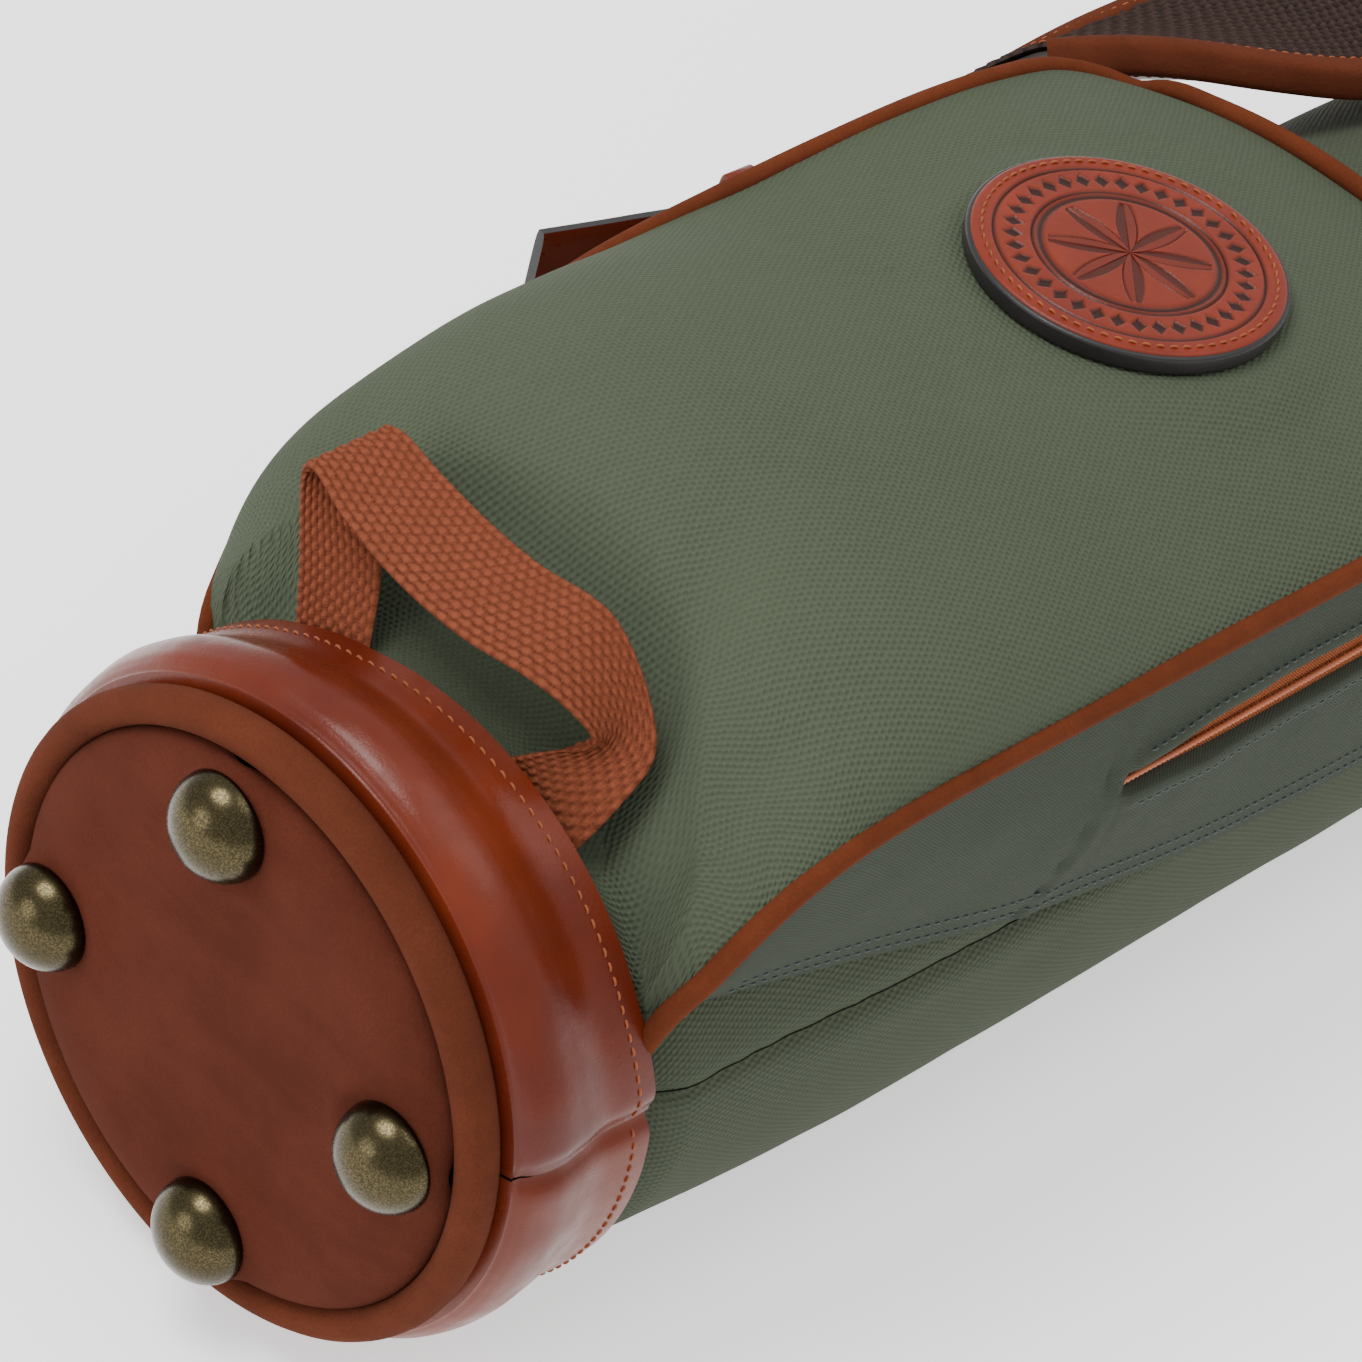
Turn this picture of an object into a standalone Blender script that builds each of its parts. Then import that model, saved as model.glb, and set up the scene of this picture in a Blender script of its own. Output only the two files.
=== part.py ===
"""A slim golf carry bag, lying on its back with its big pocket up.

X runs from the base to the mouth, Z is up, and the bag's own axis is AXIS_Z above the surface it lies on.
Lengths along the bag are measured from the base and called "station".
"""

import math

import bmesh
import bpy
import numpy as np
from mathutils import Matrix, Vector

# Driving dimensions, in metres.
BASE_X = -0.434
AXIS_Z = 0.080
RIM_STATION = 0.864
GAP = 0.0003

BOOT_TOP = 0.0467
BOOT_RADIUS = 0.0799
LEATHER = 0.0016
TUCK_RADIUS = 0.0740
BODY_WIDTH = 0.0855
BODY_HEIGHT = 0.0810
CANVAS = 0.0020
PANEL = 0.0013
LINING = 0.0009
LINING_INSET = 0.0046
STAY_INSET = 0.0028
SEAM_ANGLE = 80.0
SEAM_GAP = 0.2

WELT_TUBE = 0.0050
BASE_WELT_RADIUS = 0.0700
FOOT_CIRCLE = 0.0540
FOOT_RADIUS = 0.0126
FOOT_HEIGHT = 0.0105
FOOT_BACK = -0.0066
FOOT_TURN = -10.0
SHANK_RADIUS = 0.0020
SHANK_HOLE = 0.0024
NUT_HOLE = 0.0027

PIPING_RADIUS = 0.0026
POCKET_END = 0.352
POCKET_CORNER = 0.025
POCKET_HALF = 0.0875
POCKET_SEAT = 0.95

BADGE_STATION = 0.254
BADGE_RADIUS = 0.0390

ZIP_START = 0.172
ZIP_END = 0.326
ZIP_Z = 0.056
ZIP_Y = -0.0899
SLIDER_STATION = 0.318

WEBBING_THICKNESS = 0.0020

ANCHOR_ANGLE = -88.6
ANCHOR_HEIGHT = 0.0070
LOWER_ANCHOR = 0.232
UPPER_ANCHOR = 0.690
TAB_SIZE = (0.0240, 0.0340, 0.0028)
TAB_DROP = 0.0050
TAB_ROLL = 0.0046
RING_WIRE = 0.0020
RING_HALF = 0.0160
RING_REACH = 0.0180
BILLET_HALF = 0.0150
BUCKLE_STATION = 0.2900

CARRY_START = 0.500
CARRY_END = 0.650
CARRY_ANGLE = 35.0
CARRY_DROP = 0.0245
CARRY_BOW = 0.0130
GRIP_RADIUS = 0.0045

COLLAR_BORE = 0.0690
DIVIDER_Z = 0.0230
DIVIDER_HEIGHT = 0.0100

STRAP_EDGE = 0.0076
BINDING_RADIUS = 0.0026
BUCKLE_Y = 0.1095
BUCKLE_Z = 0.0420
BUCKLE_WIRE = 0.0016
PRONG_WIRE = 0.0011


def clear_scene():
    for thing in list(bpy.data.objects):
        bpy.data.objects.remove(thing, do_unlink=True)


def new_collection(name):
    collection = bpy.data.collections.new(name)
    bpy.context.scene.collection.children.link(collection)
    return collection


clear_scene()
PARTS = new_collection("golf_bag")
CUTTERS = new_collection("golf_bag_cutters")
CUTTERS.hide_render = True


# Materials

def material(name, color, roughness, metallic=0.0):
    made = bpy.data.materials.new(name)
    made.use_nodes = True
    shader = made.node_tree.nodes["Principled BSDF"]
    shader.inputs["Base Color"].default_value = (*color, 1.0)
    shader.inputs["Roughness"].default_value = roughness
    shader.inputs["Metallic"].default_value = metallic
    made.diffuse_color = (*color, 1.0)
    return made


CANVAS_GREEN = material("canvas", (0.100, 0.125, 0.075), 0.75)
LEATHER_TAN = material("leather", (0.320, 0.065, 0.025), 0.35)
SUEDE_BROWN = material("suede", (0.200, 0.060, 0.032), 0.95)
WEBBING_RUST = material("webbing", (0.330, 0.095, 0.045), 0.90)
ZIP_ORANGE = material("zip_tape", (0.430, 0.130, 0.050), 0.80)
BRASS = material("brass", (0.230, 0.190, 0.100), 0.35, 1.0)
BLACK_LEATHER = material("black_leather", (0.020, 0.020, 0.020), 0.45)
STRAP_MESH = material("spacer_mesh", (0.050, 0.030, 0.024), 0.90)
LINING_CLOTH = material("lining_cloth", (0.045, 0.045, 0.045), 0.90)
PLASTIC = material("plastic", (0.030, 0.030, 0.032), 0.50)
FOAM = material("foam", (0.060, 0.055, 0.050), 0.95)


# Shared shapes

def smooth(x):
    """0 below 0, 1 above 1, and an even S between."""
    x = min(max(x, 0.0), 1.0)
    return x * x * (3.0 - 2.0 * x)


def through(stations, x):
    """Value at x of the smooth curve through (x, value...) stations."""
    table = np.array(stations, float)
    xs, values = table[:, 0], table[:, 1:]
    slopes = np.gradient(values, xs, axis=0)
    x = min(max(x, xs[0]), xs[-1])
    i = min(max(int(np.searchsorted(xs, x)) - 1, 0), len(xs) - 2)
    step = xs[i + 1] - xs[i]
    t = (x - xs[i]) / step
    found = (
        (1 + 2 * t) * (1 - t) ** 2 * values[i]
        + t * (1 - t) ** 2 * step * slopes[i]
        + t * t * (3 - 2 * t) * values[i + 1]
        + t * t * (t - 1) * step * slopes[i + 1]
    )
    return found if len(found) > 1 else float(found[0])


def place(station, y, z):
    """Point at a station, y across the bag and z above the bag's axis."""
    return (BASE_X + station, y, AXIS_Z + z)


def body_size(station):
    """Half-width and half-height of the bag's outer canvas."""
    swell = smooth((station - BOOT_TOP) / 0.014)
    lift = smooth((station - BOOT_TOP) / 0.045)
    belly = smooth((station - 0.050) / 0.110)
    waist = smooth((station - 0.700) / 0.090)
    width = TUCK_RADIUS + 0.0055 * swell + 0.0060 * belly
    height = TUCK_RADIUS + 0.0055 * lift + 0.0015 * belly
    return (
        width + (0.0776 - BODY_WIDTH) * waist,
        height + (0.0776 - BODY_HEIGHT) * waist,
    )


def around(station, degrees, inset=0.0):
    """Point on the bag's side, counted from the top towards -Y, and flat underneath."""
    width, height = body_size(station)
    turn = math.radians(degrees)
    z = (height - inset) * math.cos(turn)
    return place(station, -(width - inset) * math.sin(turn), max(z, inset - AXIS_Z))


def top_of_body(station, y):
    """Height of the canvas above the axis at y."""
    width, height = body_size(station)
    return height * math.sqrt(max(0.0, 1.0 - (y / width) ** 2))


def add_object(name, data, look, collection=None):
    thing = bpy.data.objects.new(name, data)
    (collection or PARTS).objects.link(thing)
    if look:
        data.materials.append(look)
    return thing


def shade(thing, degrees=40.0):
    thing.data.shade_smooth()
    thing.data.set_sharp_from_angle(angle=math.radians(degrees))
    return thing


def sheet(name, rows, thickness, look, offset=-1.0, closed=False):
    """A loft through rows of points, made solid. The rows' normal side is its outer side."""
    mesh = bpy.data.meshes.new(name)
    shape = bmesh.new()
    grid = [[shape.verts.new(point) for point in row] for row in rows]
    across = len(grid[0])
    for low, high in zip(grid, grid[1:]):
        for j in range(across if closed else across - 1):
            k = (j + 1) % across
            shape.faces.new((low[j], high[j], high[k], low[k]))
    shape.to_mesh(mesh)
    shape.free()
    thing = add_object(name, mesh, look)
    solid = thing.modifiers.new("thickness", "SOLIDIFY")
    solid.thickness = thickness
    solid.offset = offset
    solid.use_even_offset = True
    return shade(thing)


def turned(name, profile, look, steps=32, location=(0, 0, 0), axis=(1, 0, 0)):
    """A profile of (radius, height) from top to bottom, turned about an axis."""
    mesh = bpy.data.meshes.new(name)
    points = [(radius, 0.0, height) for radius, height in profile]
    mesh.from_pydata(points, [(i, i + 1) for i in range(len(points) - 1)], [])
    thing = add_object(name, mesh, look)
    screw = thing.modifiers.new("turn", "SCREW")
    screw.steps = steps
    screw.render_steps = steps
    screw.use_merge_vertices = True
    screw.merge_threshold = 0.00001
    thing.location = location
    thing.rotation_euler = Vector((0, 0, 1)).rotation_difference(Vector(axis)).to_euler()
    return thing


def ring_profile(inner, outer, low, high):
    """Closed outline of a turned ring with a square section."""
    return [(outer, high), (outer, low), (inner, low), (inner, high), (outer, high)]


def tube(name, points, radius, look, closed=False, sides=2):
    """A round wire or cord along a list of points."""
    curve = bpy.data.curves.new(name, "CURVE")
    curve.dimensions = "3D"
    curve.bevel_depth = radius
    curve.bevel_resolution = sides
    curve.use_fill_caps = not closed
    spline = curve.splines.new("POLY")
    spline.points.add(len(points) - 1)
    for handle, point in zip(spline.points, points):
        handle.co = (*point, 1.0)
    spline.use_cyclic_u = closed
    return add_object(name, curve, look)


def torus(name, radius, tube_radius, station, look, steps=44):
    bpy.ops.mesh.primitive_torus_add(
        major_radius=radius,
        minor_radius=tube_radius,
        major_segments=steps,
        minor_segments=8,
        location=place(station, 0, 0),
        rotation=(0, math.radians(90), 0),
    )
    thing = bpy.context.object
    thing.name = name
    for collection in list(thing.users_collection):
        collection.objects.unlink(thing)
    PARTS.objects.link(thing)
    thing.data.materials.append(look)
    thing.data.shade_smooth()
    return thing


def block(name, size, location, look, rotation=(0, 0, 0), rounding=0.0, collection=None):
    """A box of a size, centred on a location, with rounded edges."""
    mesh = bpy.data.meshes.new(name)
    shape = bmesh.new()
    bmesh.ops.create_cube(shape, size=1.0)
    bmesh.ops.scale(shape, vec=size, verts=shape.verts)
    shape.to_mesh(mesh)
    shape.free()
    thing = add_object(name, mesh, look, collection)
    thing.location = location
    thing.rotation_euler = rotation
    if rounding:
        bevel = thing.modifiers.new("rounding", "BEVEL")
        bevel.width = rounding
        bevel.segments = 2
    return thing


def rod(name, radius, length, location, axis, look, sides=20, collection=None):
    """A plain cylinder centred on a location."""
    mesh = bpy.data.meshes.new(name)
    shape = bmesh.new()
    bmesh.ops.create_cone(
        shape, cap_ends=True, segments=sides, radius1=radius, radius2=radius, depth=length
    )
    shape.to_mesh(mesh)
    shape.free()
    thing = add_object(name, mesh, look, collection)
    thing.location = location
    thing.rotation_euler = Vector((0, 0, 1)).rotation_difference(Vector(axis)).to_euler()
    return thing


def cut(thing, cutter, operation="DIFFERENCE"):
    """Takes a helper's shape out of a part, or joins it on."""
    cutter.hide_render = True
    cutter.display_type = "WIRE"
    change = thing.modifiers.new(operation.lower(), "BOOLEAN")
    change.operation = operation
    change.object = cutter
    return thing


# Base: board, suede cover, welt, four brass feet with their nuts

def foot_places():
    for index in range(4):
        turn = math.radians(FOOT_TURN + 90.0 * index)
        yield index + 1, FOOT_CIRCLE * math.cos(turn), FOOT_CIRCLE * math.sin(turn)


def build_base():
    inner = BASE_WELT_RADIUS - WELT_TUBE - 2 * GAP
    board = turned(
        "base_board",
        [(0, 0.0108), (0.0716, 0.0108), (0.0716, 0.0078), (inner, 0.0078), (inner, 0.0), (0, 0.0)],
        PLASTIC,
        steps=48,
        location=place(0, 0, 0),
    )
    cover = turned(
        "base_cover",
        [
            (0, -GAP),
            (inner, -GAP),
            (inner, -0.0012),
            (inner - 0.0015, -0.0034),
            (inner - 0.0045, -0.0053),
            (inner - 0.0100, -0.0061),
            (0, -0.0062),
        ],
        SUEDE_BROWN,
        steps=48,
        location=place(0, 0, 0),
    )
    for index, y, z in foot_places():
        hole = rod(
            f"shank_hole_{index}", SHANK_HOLE, 0.05, place(0, y, z), (1, 0, 0), None, 12, CUTTERS
        )
        cut(board, hole)
        cut(cover, hole)
    torus("base_welt", BASE_WELT_RADIUS, WELT_TUBE, 0.0025, SUEDE_BROWN)


def build_feet():
    arc = [math.radians(90.0 * i / 5) for i in range(6)]
    dome = [
        (FOOT_RADIUS * math.cos(turn), FOOT_BACK - FOOT_HEIGHT * math.sin(turn))
        for turn in arc[:-1]
    ]
    profile = [
        (0, 0.0165),
        (SHANK_RADIUS, 0.0165),
        (SHANK_RADIUS, FOOT_BACK),
        *dome,
        (0, FOOT_BACK - FOOT_HEIGHT),
    ]
    nut = [(NUT_HOLE, 0.0146), (0.0056, 0.0146), (0.0056, 0.0111), (NUT_HOLE, 0.0111)]
    for index, y, z in foot_places():
        foot = turned(f"foot_stud_{index}", profile, BRASS, 20, place(0, y, z))
        foot.data.shade_smooth()
        turned(f"foot_nut_{index}", [*nut, nut[0]], BRASS, 6, place(0, y, z))


# Boot: two leather bands round the base end

def boot_ring(station, degrees):
    radius = BOOT_RADIUS - 0.0030 * (1.0 - smooth((station - 0.008) / 0.006))
    turn = math.radians(degrees)
    return place(station, -radius * math.sin(turn), radius * math.cos(turn))


def build_boot():
    stations = (0.0080, 0.0105, 0.0140, 0.0300, BOOT_TOP)
    front = np.linspace(SEAM_ANGLE - SEAM_GAP, SEAM_GAP - SEAM_ANGLE, 25)
    rear = np.linspace(-SEAM_ANGLE - SEAM_GAP, SEAM_ANGLE - 360.0 + SEAM_GAP, 29)
    for name, angles in (("boot_front_band", front), ("boot_rear_band", rear)):
        sheet(name, [[boot_ring(s, a) for a in angles] for s in stations], LEATHER, LEATHER_TAN)


# Body: front and back canvas, lining, three stays

BODY_STATIONS = (
    0.0081, 0.040, 0.0467, 0.052, 0.060, 0.075, 0.095, 0.125, 0.160, 0.420, 0.700, 0.730,
    0.760, 0.790, 0.8585,
)


def build_body():
    front = np.linspace(SEAM_ANGLE - SEAM_GAP, SEAM_GAP - SEAM_ANGLE, 21)
    rear = np.linspace(-SEAM_ANGLE - SEAM_GAP, SEAM_ANGLE - 360.0 + SEAM_GAP, 25)
    for name, angles in (("body_front_canvas", front), ("body_back_canvas", rear)):
        rows = [[around(s, a) for a in angles] for s in BODY_STATIONS]
        sheet(name, rows, CANVAS, CANVAS_GREEN)
    whole = np.linspace(180.0, -180.0, 28, endpoint=False)
    inner = [s for s in BODY_STATIONS if 0.02 < s < 0.80]
    stations = [0.0112, *inner, 0.826]
    rows = [[around(s, a, LINING_INSET) for a in whole] for s in stations]
    sheet("body_lining", rows, LINING, LINING_CLOTH, closed=True)
    for name, centre in (("stay_front", 0.0), ("stay_near", 118.0), ("stay_far", -118.0)):
        angles = (centre + 4.0, centre, centre - 4.0)
        rows = [[around(s, a, STAY_INSET) for a in angles] for s in stations]
        sheet(name, rows, 0.0013, PLASTIC)


# Pocket: bulging panel, gusset wall, piping

CROWN = (
    (0.040, 0.0762), (0.047, 0.0770), (0.054, 0.0800), (0.062, 0.0880), (0.070, 0.0970),
    (0.080, 0.1060), (0.092, 0.1130), (0.110, 0.1175), (0.140, 0.1160), (0.180, 0.1090),
    (0.215, 0.1062), (0.256, 0.1060), (0.295, 0.1045), (0.325, 0.1000), (0.352, 0.0940),
)


def piping_height(station):
    rise = 0.026 + 0.060 * (1.0 - math.exp(-max(station - BOOT_TOP, 0.0) / 0.012))
    end = smooth((station - 0.300) / (POCKET_END - 0.300))
    return rise - 0.00002 * max(station * 1000.0 - 110.0, 0.0) - 0.0022 * end


def piping_half(station):
    """Half-width of the pocket at a station, with its round far corners."""
    spread = 1.0 - math.exp(-max(station - BOOT_TOP, 0.0) / 0.012)
    side = 0.0713 + (POCKET_HALF - 0.0713) * spread
    past = max(station - (POCKET_END - POCKET_CORNER), 0.0)
    return side - POCKET_CORNER + math.sqrt(max(POCKET_CORNER**2 - past**2, 0.0))


def panel_point(station, share):
    """Point on the pocket's front at a share of its half-width, -1 on the near side.

    It leaves the boot as a round tuck, and swells first at its edges, because the handle holds
    its middle down."""
    half = piping_half(station)
    edge = piping_height(station)
    crown = through(CROWN, station)
    flat = smooth((station - 0.120) / 0.130)
    y = half * math.sin(share * math.pi / 2.0)
    part = abs(y / half) ** (2.0 + 0.5 * flat)
    rise = (1.0 - min(part, 1.0)) ** (0.5 + 0.5 * flat)
    middle = max(0.0, 1.0 - (y / 0.070) ** 2)
    loose = smooth((station - BOOT_TOP - 0.0004 - 0.004 * middle) / (0.004 + 0.030 * middle))
    tuck = math.sqrt(max(0.0762**2 - y * y, 0.026**2))
    return station, y, tuck + (edge + (crown - edge) * rise - tuck) * loose


def piping_path():
    """The pocket's edge from the boot, up the near side, round the end and back."""
    side = [0.0505, 0.0525, 0.056, 0.061, 0.067, 0.076, 0.088, 0.102, 0.120, 0.145, 0.172, 0.210]
    side += [0.250, 0.290, 0.312]
    corner = POCKET_END - POCKET_CORNER
    arc = [corner + POCKET_CORNER * math.sin(math.radians(a)) for a in (0, 18, 36, 54, 72)]
    near = [(s, -piping_half(s), piping_height(s)) for s in side + arc]
    end_half = POCKET_HALF - POCKET_CORNER
    edge = piping_height(POCKET_END)
    crown = through(CROWN, POCKET_END)
    across = []
    for share in np.linspace(-1.0, 1.0, 9):
        y = end_half * share
        across.append((POCKET_END, y, edge + (crown - edge) * (1.0 - abs(y / 0.075) ** 2)))
    far = [(s, -y, z) for s, y, z in reversed(near)]
    return near + across + far


def build_pocket():
    stations = [0.040, 0.0468, 0.0490, 0.0515, 0.055, 0.060, 0.067, 0.076, 0.088, 0.105]
    stations += [0.135, 0.172, 0.210, 0.260, 0.300, 0.327, 0.337, 0.3468]
    rows = []
    for station in stations:
        clear = 0.0034 + 0.0014 * smooth((station - 0.320) / 0.020)
        limit = 1.0 - clear / piping_half(station)
        reach = math.asin(limit) * 2.0 / math.pi
        shares = np.linspace(-reach, reach, 17)
        rows.append([place(*panel_point(station, share)) for share in shares])
    sheet("pocket_panel", rows, PANEL, CANVAS_GREEN)

    path = piping_path()
    tube("pocket_piping", [place(*point) for point in path], PIPING_RADIUS, SUEDE_BROWN)
    rows = []
    for index, (station, y, z) in enumerate(path):
        before = Vector(path[max(index - 1, 0)])
        after = Vector(path[min(index + 1, len(path) - 1)])
        along = (after - before).normalized()
        down = (along * along.z - Vector((0, 0, 1))).normalized()
        top = Vector((station, y * 0.996, z)) + down * (PIPING_RADIUS + 0.0008)
        foot_y = y * POCKET_SEAT
        foot_z = top_of_body(top.x, foot_y)
        width, height = body_size(top.x)
        off = Vector((0, foot_y / width**2, foot_z / height**2)).normalized() * 0.0026
        foot = Vector((top.x, foot_y, foot_z)) + off
        foot.z = min(foot.z, top.z - 0.002)
        bulge = 0.0030 * smooth((top.z - foot.z) / 0.050)
        out = along.cross(Vector((0, 0, 1))).normalized() * bulge
        rows.append([
            place(*(foot + (top - foot) * part + out * math.sin(part * math.pi)))
            for part in (0.0, 0.33, 0.66, 1.0)
        ])
    sheet("pocket_gusset", rows, 0.0014, CANVAS_GREEN)


def build_badge():
    under = np.linspace(BADGE_STATION - BADGE_RADIUS, BADGE_STATION + BADGE_RADIUS, 15)
    crown = max(through(CROWN, station) for station in under)
    location = place(BADGE_STATION, 0, crown + 2 * GAP)
    rise = (0, 0, 1)
    edge = BADGE_RADIUS
    black = [
        (0, 0.0024), (edge - 0.0008, 0.0024), (edge, 0.0017), (edge, 0.0006), (edge - 0.0010, 0), (0, 0),
    ]
    face = [
        (0, 0.0056), (edge - 0.0018, 0.0056), (edge - 0.0009, 0.0048), (edge - 0.0009, 0.0027),
        (0, 0.0027),
    ]
    turned("badge_backing", black, BLACK_LEATHER, 48, location, rise)
    turned("badge_leather", face, LEATHER_TAN, 48, location, rise)


# Zip on the near side of the gusset

def build_zip():
    length = ZIP_END - ZIP_START
    middle = (ZIP_START + ZIP_END) / 2.0
    for name, z in (("zip_tape_upper", ZIP_Z + 0.0051), ("zip_tape_lower", ZIP_Z - 0.0051)):
        block(name, (length, 0.0009, 0.0060), place(middle, ZIP_Y - 0.0005, z), ZIP_ORANGE)
    block("zip_coil", (length, 0.0016, 0.0034), place(middle, ZIP_Y - 0.0009, ZIP_Z), ZIP_ORANGE,
          rounding=0.0005)
    slider = block("zip_slider", (0.0100, 0.0026, 0.0074),
                   place(SLIDER_STATION, ZIP_Y - 0.0034, ZIP_Z), BRASS, rounding=0.0008)
    bow = ((0.0040, 0.0026), (0.0068, 0.0020), (0.0068, -0.0020), (0.0040, -0.0026))
    path = [place(SLIDER_STATION, ZIP_Y - out, ZIP_Z + up) for out, up in bow]
    bridge = tube("slider_bridge", path, 0.0007, None)
    cut(slider, solid_copy(bridge), "UNION")
    block("zip_puller", (0.0075, 0.0018, 0.0300),
          place(SLIDER_STATION, ZIP_Y - 0.0058, ZIP_Z - 0.0188), LEATHER_TAN, rounding=0.0006)


def solid_copy(curve):
    """A curve object turned into a closed mesh helper, so that a Boolean can use it."""
    graph = bpy.context.evaluated_depsgraph_get()
    mesh = bpy.data.meshes.new_from_object(curve.evaluated_get(graph))
    shape = bmesh.new()
    shape.from_mesh(mesh)
    bmesh.ops.remove_doubles(shape, verts=shape.verts, dist=0.00001)
    shape.to_mesh(mesh)
    shape.free()
    helper = bpy.data.objects.new(curve.name + "_solid", mesh)
    helper.matrix_world = curve.matrix_world
    CUTTERS.objects.link(helper)
    bpy.data.objects.remove(curve, do_unlink=True)
    return helper


# Webbing handle at the base: its two edges, from the far leg over to the near leg

HANDLE_EDGES = (
    ((0.0486, 0.0438, 0.0640), (0.0486, 0.0216, 0.0745)),
    ((0.0492, 0.0490, 0.0730), (0.0510, 0.0290, 0.0850)),
    ((0.0485, 0.0540, 0.0830), (0.0550, 0.0400, 0.0950)),
    ((0.0490, 0.0560, 0.0910), (0.0620, 0.0465, 0.1030)),
    ((0.0470, 0.0510, 0.0960), (0.0620, 0.0420, 0.1070)),
    ((0.0440, 0.0370, 0.0935), (0.0610, 0.0280, 0.1055)),
    ((0.0415, 0.0170, 0.0920), (0.0600, 0.0110, 0.1045)),
    ((0.0405, -0.0030, 0.0930), (0.0600, -0.0040, 0.1045)),
    ((0.0420, -0.0200, 0.0945), (0.0615, -0.0180, 0.1055)),
    ((0.0470, -0.0330, 0.0920), (0.0640, -0.0290, 0.1030)),
    ((0.0520, -0.0385, 0.0860), (0.0650, -0.0400, 0.0940)),
    ((0.0538, -0.0340, 0.0826), (0.0612, -0.0480, 0.0848)),
    ((0.0508, -0.0265, 0.0790), (0.0536, -0.0480, 0.0756)),
    ((0.0486, -0.0216, 0.0745), (0.0486, -0.0438, 0.0640)),
)


def build_base_handle():
    rows = [[place(*far_edge), place(*near_edge)] for far_edge, near_edge in HANDLE_EDGES]
    sheet("base_handle_webbing", rows, WEBBING_THICKNESS, WEBBING_RUST, offset=0.0)


# Mouth: stiff ring, leather collar, suede rim, two divider bars

def build_mouth():
    ring = ring_profile(COLLAR_BORE, 0.0715, 0.8300, 0.8600)
    turned("collar_ring", ring, PLASTIC, 48, place(0, 0, 0))
    collar = ring_profile(0.0783, BOOT_RADIUS, 0.8000, 0.8585)
    turned("collar_band", collar, LEATHER_TAN, 48, place(0, 0, 0))
    torus("collar_welt", 0.0745, WELT_TUBE, RIM_STATION + 0.0003, SUEDE_BROWN)
    reach = COLLAR_BORE - GAP
    for name, z in (("divider_bar_front", DIVIDER_Z), ("divider_bar_back", -DIVIDER_Z)):
        half = math.sqrt(reach**2 - (DIVIDER_Z + DIVIDER_HEIGHT / 2.0) ** 2)
        size = (0.016, 2.0 * half, DIVIDER_HEIGHT)
        block(name, size, place(0.850, 0, z), LINING_CLOTH, rounding=0.0025)


# Hardware: a D-ring whose bar turns in the roll of a stitched leather tab

def hinge_frame(station, degrees):
    """Centre of a ring's bar beside the canvas, and the directions away from and round the bag."""
    width, height = body_size(station)
    turn = math.radians(degrees)
    out = Vector((0, -math.sin(turn), math.cos(turn)))
    side = Vector((0, -math.cos(turn), -math.sin(turn)))
    radius = 1.0 / math.hypot(math.sin(turn) / width, math.cos(turn) / height)
    return Vector(place(station, 0, 0)) + out * (radius + ANCHOR_HEIGHT), out, side


def anchor_tab(name, station, degrees):
    centre, out, _ = hinge_frame(station, degrees)
    tilt = (math.radians(degrees), 0, 0)
    plate = block(name, TAB_SIZE, centre - out * TAB_DROP, LEATHER_TAN, tilt, 0.0008)
    roll = rod(f"{name}_roll", TAB_ROLL, TAB_SIZE[0], centre, (1, 0, 0), None, 16, CUTTERS)
    hole = rod(f"{name}_hole", RING_WIRE + 0.0005, 0.04, centre, (1, 0, 0), None, 16, CUTTERS)
    cut(plate, roll, "UNION")
    return cut(plate, hole)


def d_ring(name, station, degrees, toward):
    """Wire ring whose straight bar is the hinge and whose bow points towards a direction."""
    centre, _, _ = hinge_frame(station, degrees)
    along = Vector((1, 0, 0))
    neck = RING_REACH * 0.35
    points = [(-RING_HALF, 0.0), (RING_HALF, 0.0), (RING_HALF, neck)]
    for angle in (30, 60, 90, 120, 150):
        turn = math.radians(angle)
        points.append((RING_HALF * math.cos(turn), neck + (RING_REACH - neck) * math.sin(turn)))
    points.append((-RING_HALF, neck))
    path = [centre + along * x + toward * reach for x, reach in points]
    return tube(name, path, RING_WIRE, BRASS, closed=True)


# Shoulder strap on the far side. A row is station, centre y, centre z, half-width, and the tilt
# of its width from level, in degrees: 90 stands it on edge.

STRAP = (
    (0.352, 0.1080, 0.0620, 0.0190, 50.0),
    (0.368, 0.0950, 0.0700, 0.0260, 34.0),
    (0.390, 0.0780, 0.0780, 0.0310, 16.0),
    (0.415, 0.0680, 0.0800, 0.0325, 7.0),
    (0.450, 0.0650, 0.0805, 0.0325, 5.0),
    (0.500, 0.0650, 0.0805, 0.0325, 5.0),
    (0.560, 0.0670, 0.0800, 0.0325, 10.0),
    (0.610, 0.0740, 0.0760, 0.0310, 24.0),
    (0.640, 0.0810, 0.0670, 0.0240, 38.0),
    (0.652, 0.0840, 0.0610, 0.0180, 46.0),
)

BILLET = (
    (0.1960, 0.1240, 0.0420, BILLET_HALF, 90.0),
    (0.2250, 0.1215, 0.0375, BILLET_HALF, 90.0),
    (0.2550, 0.1185, 0.0342, BILLET_HALF, 90.0),
    (0.2850, 0.1160, 0.0378, BILLET_HALF, 86.0),
    (0.3150, 0.1140, 0.0445, BILLET_HALF, 78.0),
    (0.3492, 0.1087, 0.0607, BILLET_HALF, 51.0),
)

CHAPE = (
    (0.2200, 0.1085, 0.0290, 0.0100, 90.0),
    (0.2450, 0.1100, 0.0325, 0.0100, 90.0),
    (0.2775, 0.1118, 0.0400, 0.0100, 90.0),
)

UPPER_TAB = (
    (0.6525, 0.0845, 0.0600, 0.0130, 46.0),
    (0.6680, 0.0930, 0.0470, 0.0105, 60.0),
    (0.6840, 0.1010, 0.0350, 0.0085, 72.0),
    (0.6960, 0.1040, 0.0310, 0.0080, 78.0),
)


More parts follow.
